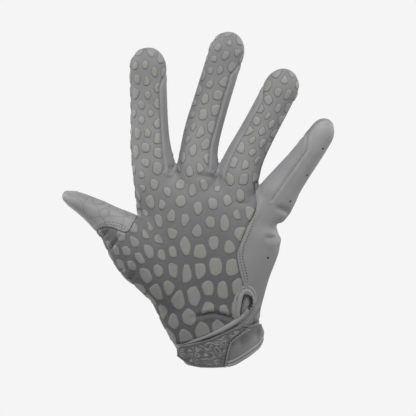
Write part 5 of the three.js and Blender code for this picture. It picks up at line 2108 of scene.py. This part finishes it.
# The print's seam tone is the shadow painted round each cell, and it darkens to painted shade towards the
# heel
grip_print = grain_finish("grip_print", 0x7d7d7a, 0x888885, 0x404042, 0.6, 0.8, heel_shade_tip_tones=(0x6e6e6b, 0x757572))
add_print()


# Stage: a pale floor, a pale surround and soft lamps

BACKGROUND = 0xf5f5f5
AMBIENT = 0.27
FLOOR_HEIGHT, FLOOR_REACH = -330, 4000
# How far out the floor begins to fade into the backdrop, and where it is all backdrop
FLOOR_FADE = (300, 1100)
NEAREST_FADE = 0.55
# Lamps: where each hangs, its size and its power in watts, and the place at which all are aimed
LAMPS = {
    "key": ((10, -500, 560), 400, 5.6),
    "left_rim": ((-900, 150, 350), 500, 6.5),
    "right_rim": ((900, 250, 350), 500, 6.0),
}
LAMP_TARGET = (-8, -10, 95)


def make_floor():
    """A pale floor that keeps the glove's shadow and fades into the backdrop further out"""
    signs = ((-1, -1), (1, -1), (1, 1), (-1, 1))
    corners = [(x * FLOOR_REACH, y * FLOOR_REACH, FLOOR_HEIGHT) for x, y in signs]
    floor = link("floor", corners, [(0, 1, 2, 3)])
    pale = Finish("pale_floor", 0.9, specular=0.1)
    pale.colour(pale.mix(pale.noise(pale.space, 60), 0xe9e9e9, 0xededed))
    distance = pale.node("ShaderNodeVectorMath", operation="LENGTH")
    pale.wire(pale.space, distance.inputs[0])
    share = pale.between(distance.outputs["Value"], *FLOOR_FADE)
    share = pale.sum(pale.sum(share, 1 - NEAREST_FADE, "MULTIPLY"), NEAREST_FADE)
    share = pale.sum(share, pale.node("ShaderNodeLightPath").outputs["Is Camera Ray"], "MULTIPLY")
    backdrop = pale.node("ShaderNodeEmission")
    backdrop.inputs["Color"].default_value = linear(BACKGROUND)
    mixed = pale.node("ShaderNodeMixShader")
    pale.wire(share, mixed.inputs[0])
    pale.wire(pale.shader.outputs[0], mixed.inputs[1])
    pale.wire(backdrop.outputs[0], mixed.inputs[2])
    pale.wire(mixed.outputs[0], pale.tree.nodes["Material Output"].inputs["Surface"])
    floor.data.materials.append(pale.material)


def make_stage():
    """The floor and a surround that gives even light and is seen as the backdrop"""
    make_floor()
    world = bpy.data.worlds.new("surround")
    world.use_nodes = True
    bpy.context.scene.world = world
    nodes, links = world.node_tree.nodes, world.node_tree.links
    path = nodes.new("ShaderNodeLightPath")
    seen = path.outputs["Is Camera Ray"]
    for ray in ("Is Glossy Ray", "Is Transmission Ray"):
        either = nodes.new("ShaderNodeMath")
        either.operation = "MAXIMUM"
        links.new(seen, either.inputs[0])
        links.new(path.outputs[ray], either.inputs[1])
        seen = either.outputs[0]
    ambient, backdrop = nodes["Background"], nodes.new("ShaderNodeBackground")
    ambient.inputs["Color"].default_value = (1, 1, 1, 1)
    ambient.inputs["Strength"].default_value = AMBIENT
    backdrop.inputs["Color"].default_value = linear(BACKGROUND)
    mixed = nodes.new("ShaderNodeMixShader")
    links.new(seen, mixed.inputs[0])
    links.new(ambient.outputs[0], mixed.inputs[1])
    links.new(backdrop.outputs[0], mixed.inputs[2])
    links.new(mixed.outputs[0], nodes["World Output"].inputs["Surface"])


def make_lamps():
    target = Vector(LAMP_TARGET) * METRE
    for name, (place, size, power) in LAMPS.items():
        lamp = bpy.data.objects.new(name, bpy.data.lights.new(name, "AREA"))
        lamp.data.size = size * METRE
        lamp.data.energy = power
        lamp.location = Vector(place) * METRE
        lamp.rotation_euler = (target - lamp.location).to_track_quat("-Z", "Y").to_euler()
        bpy.context.scene.collection.objects.link(lamp)


make_stage()
make_lamps()
bpy.context.scene.view_settings.view_transform = "Standard"
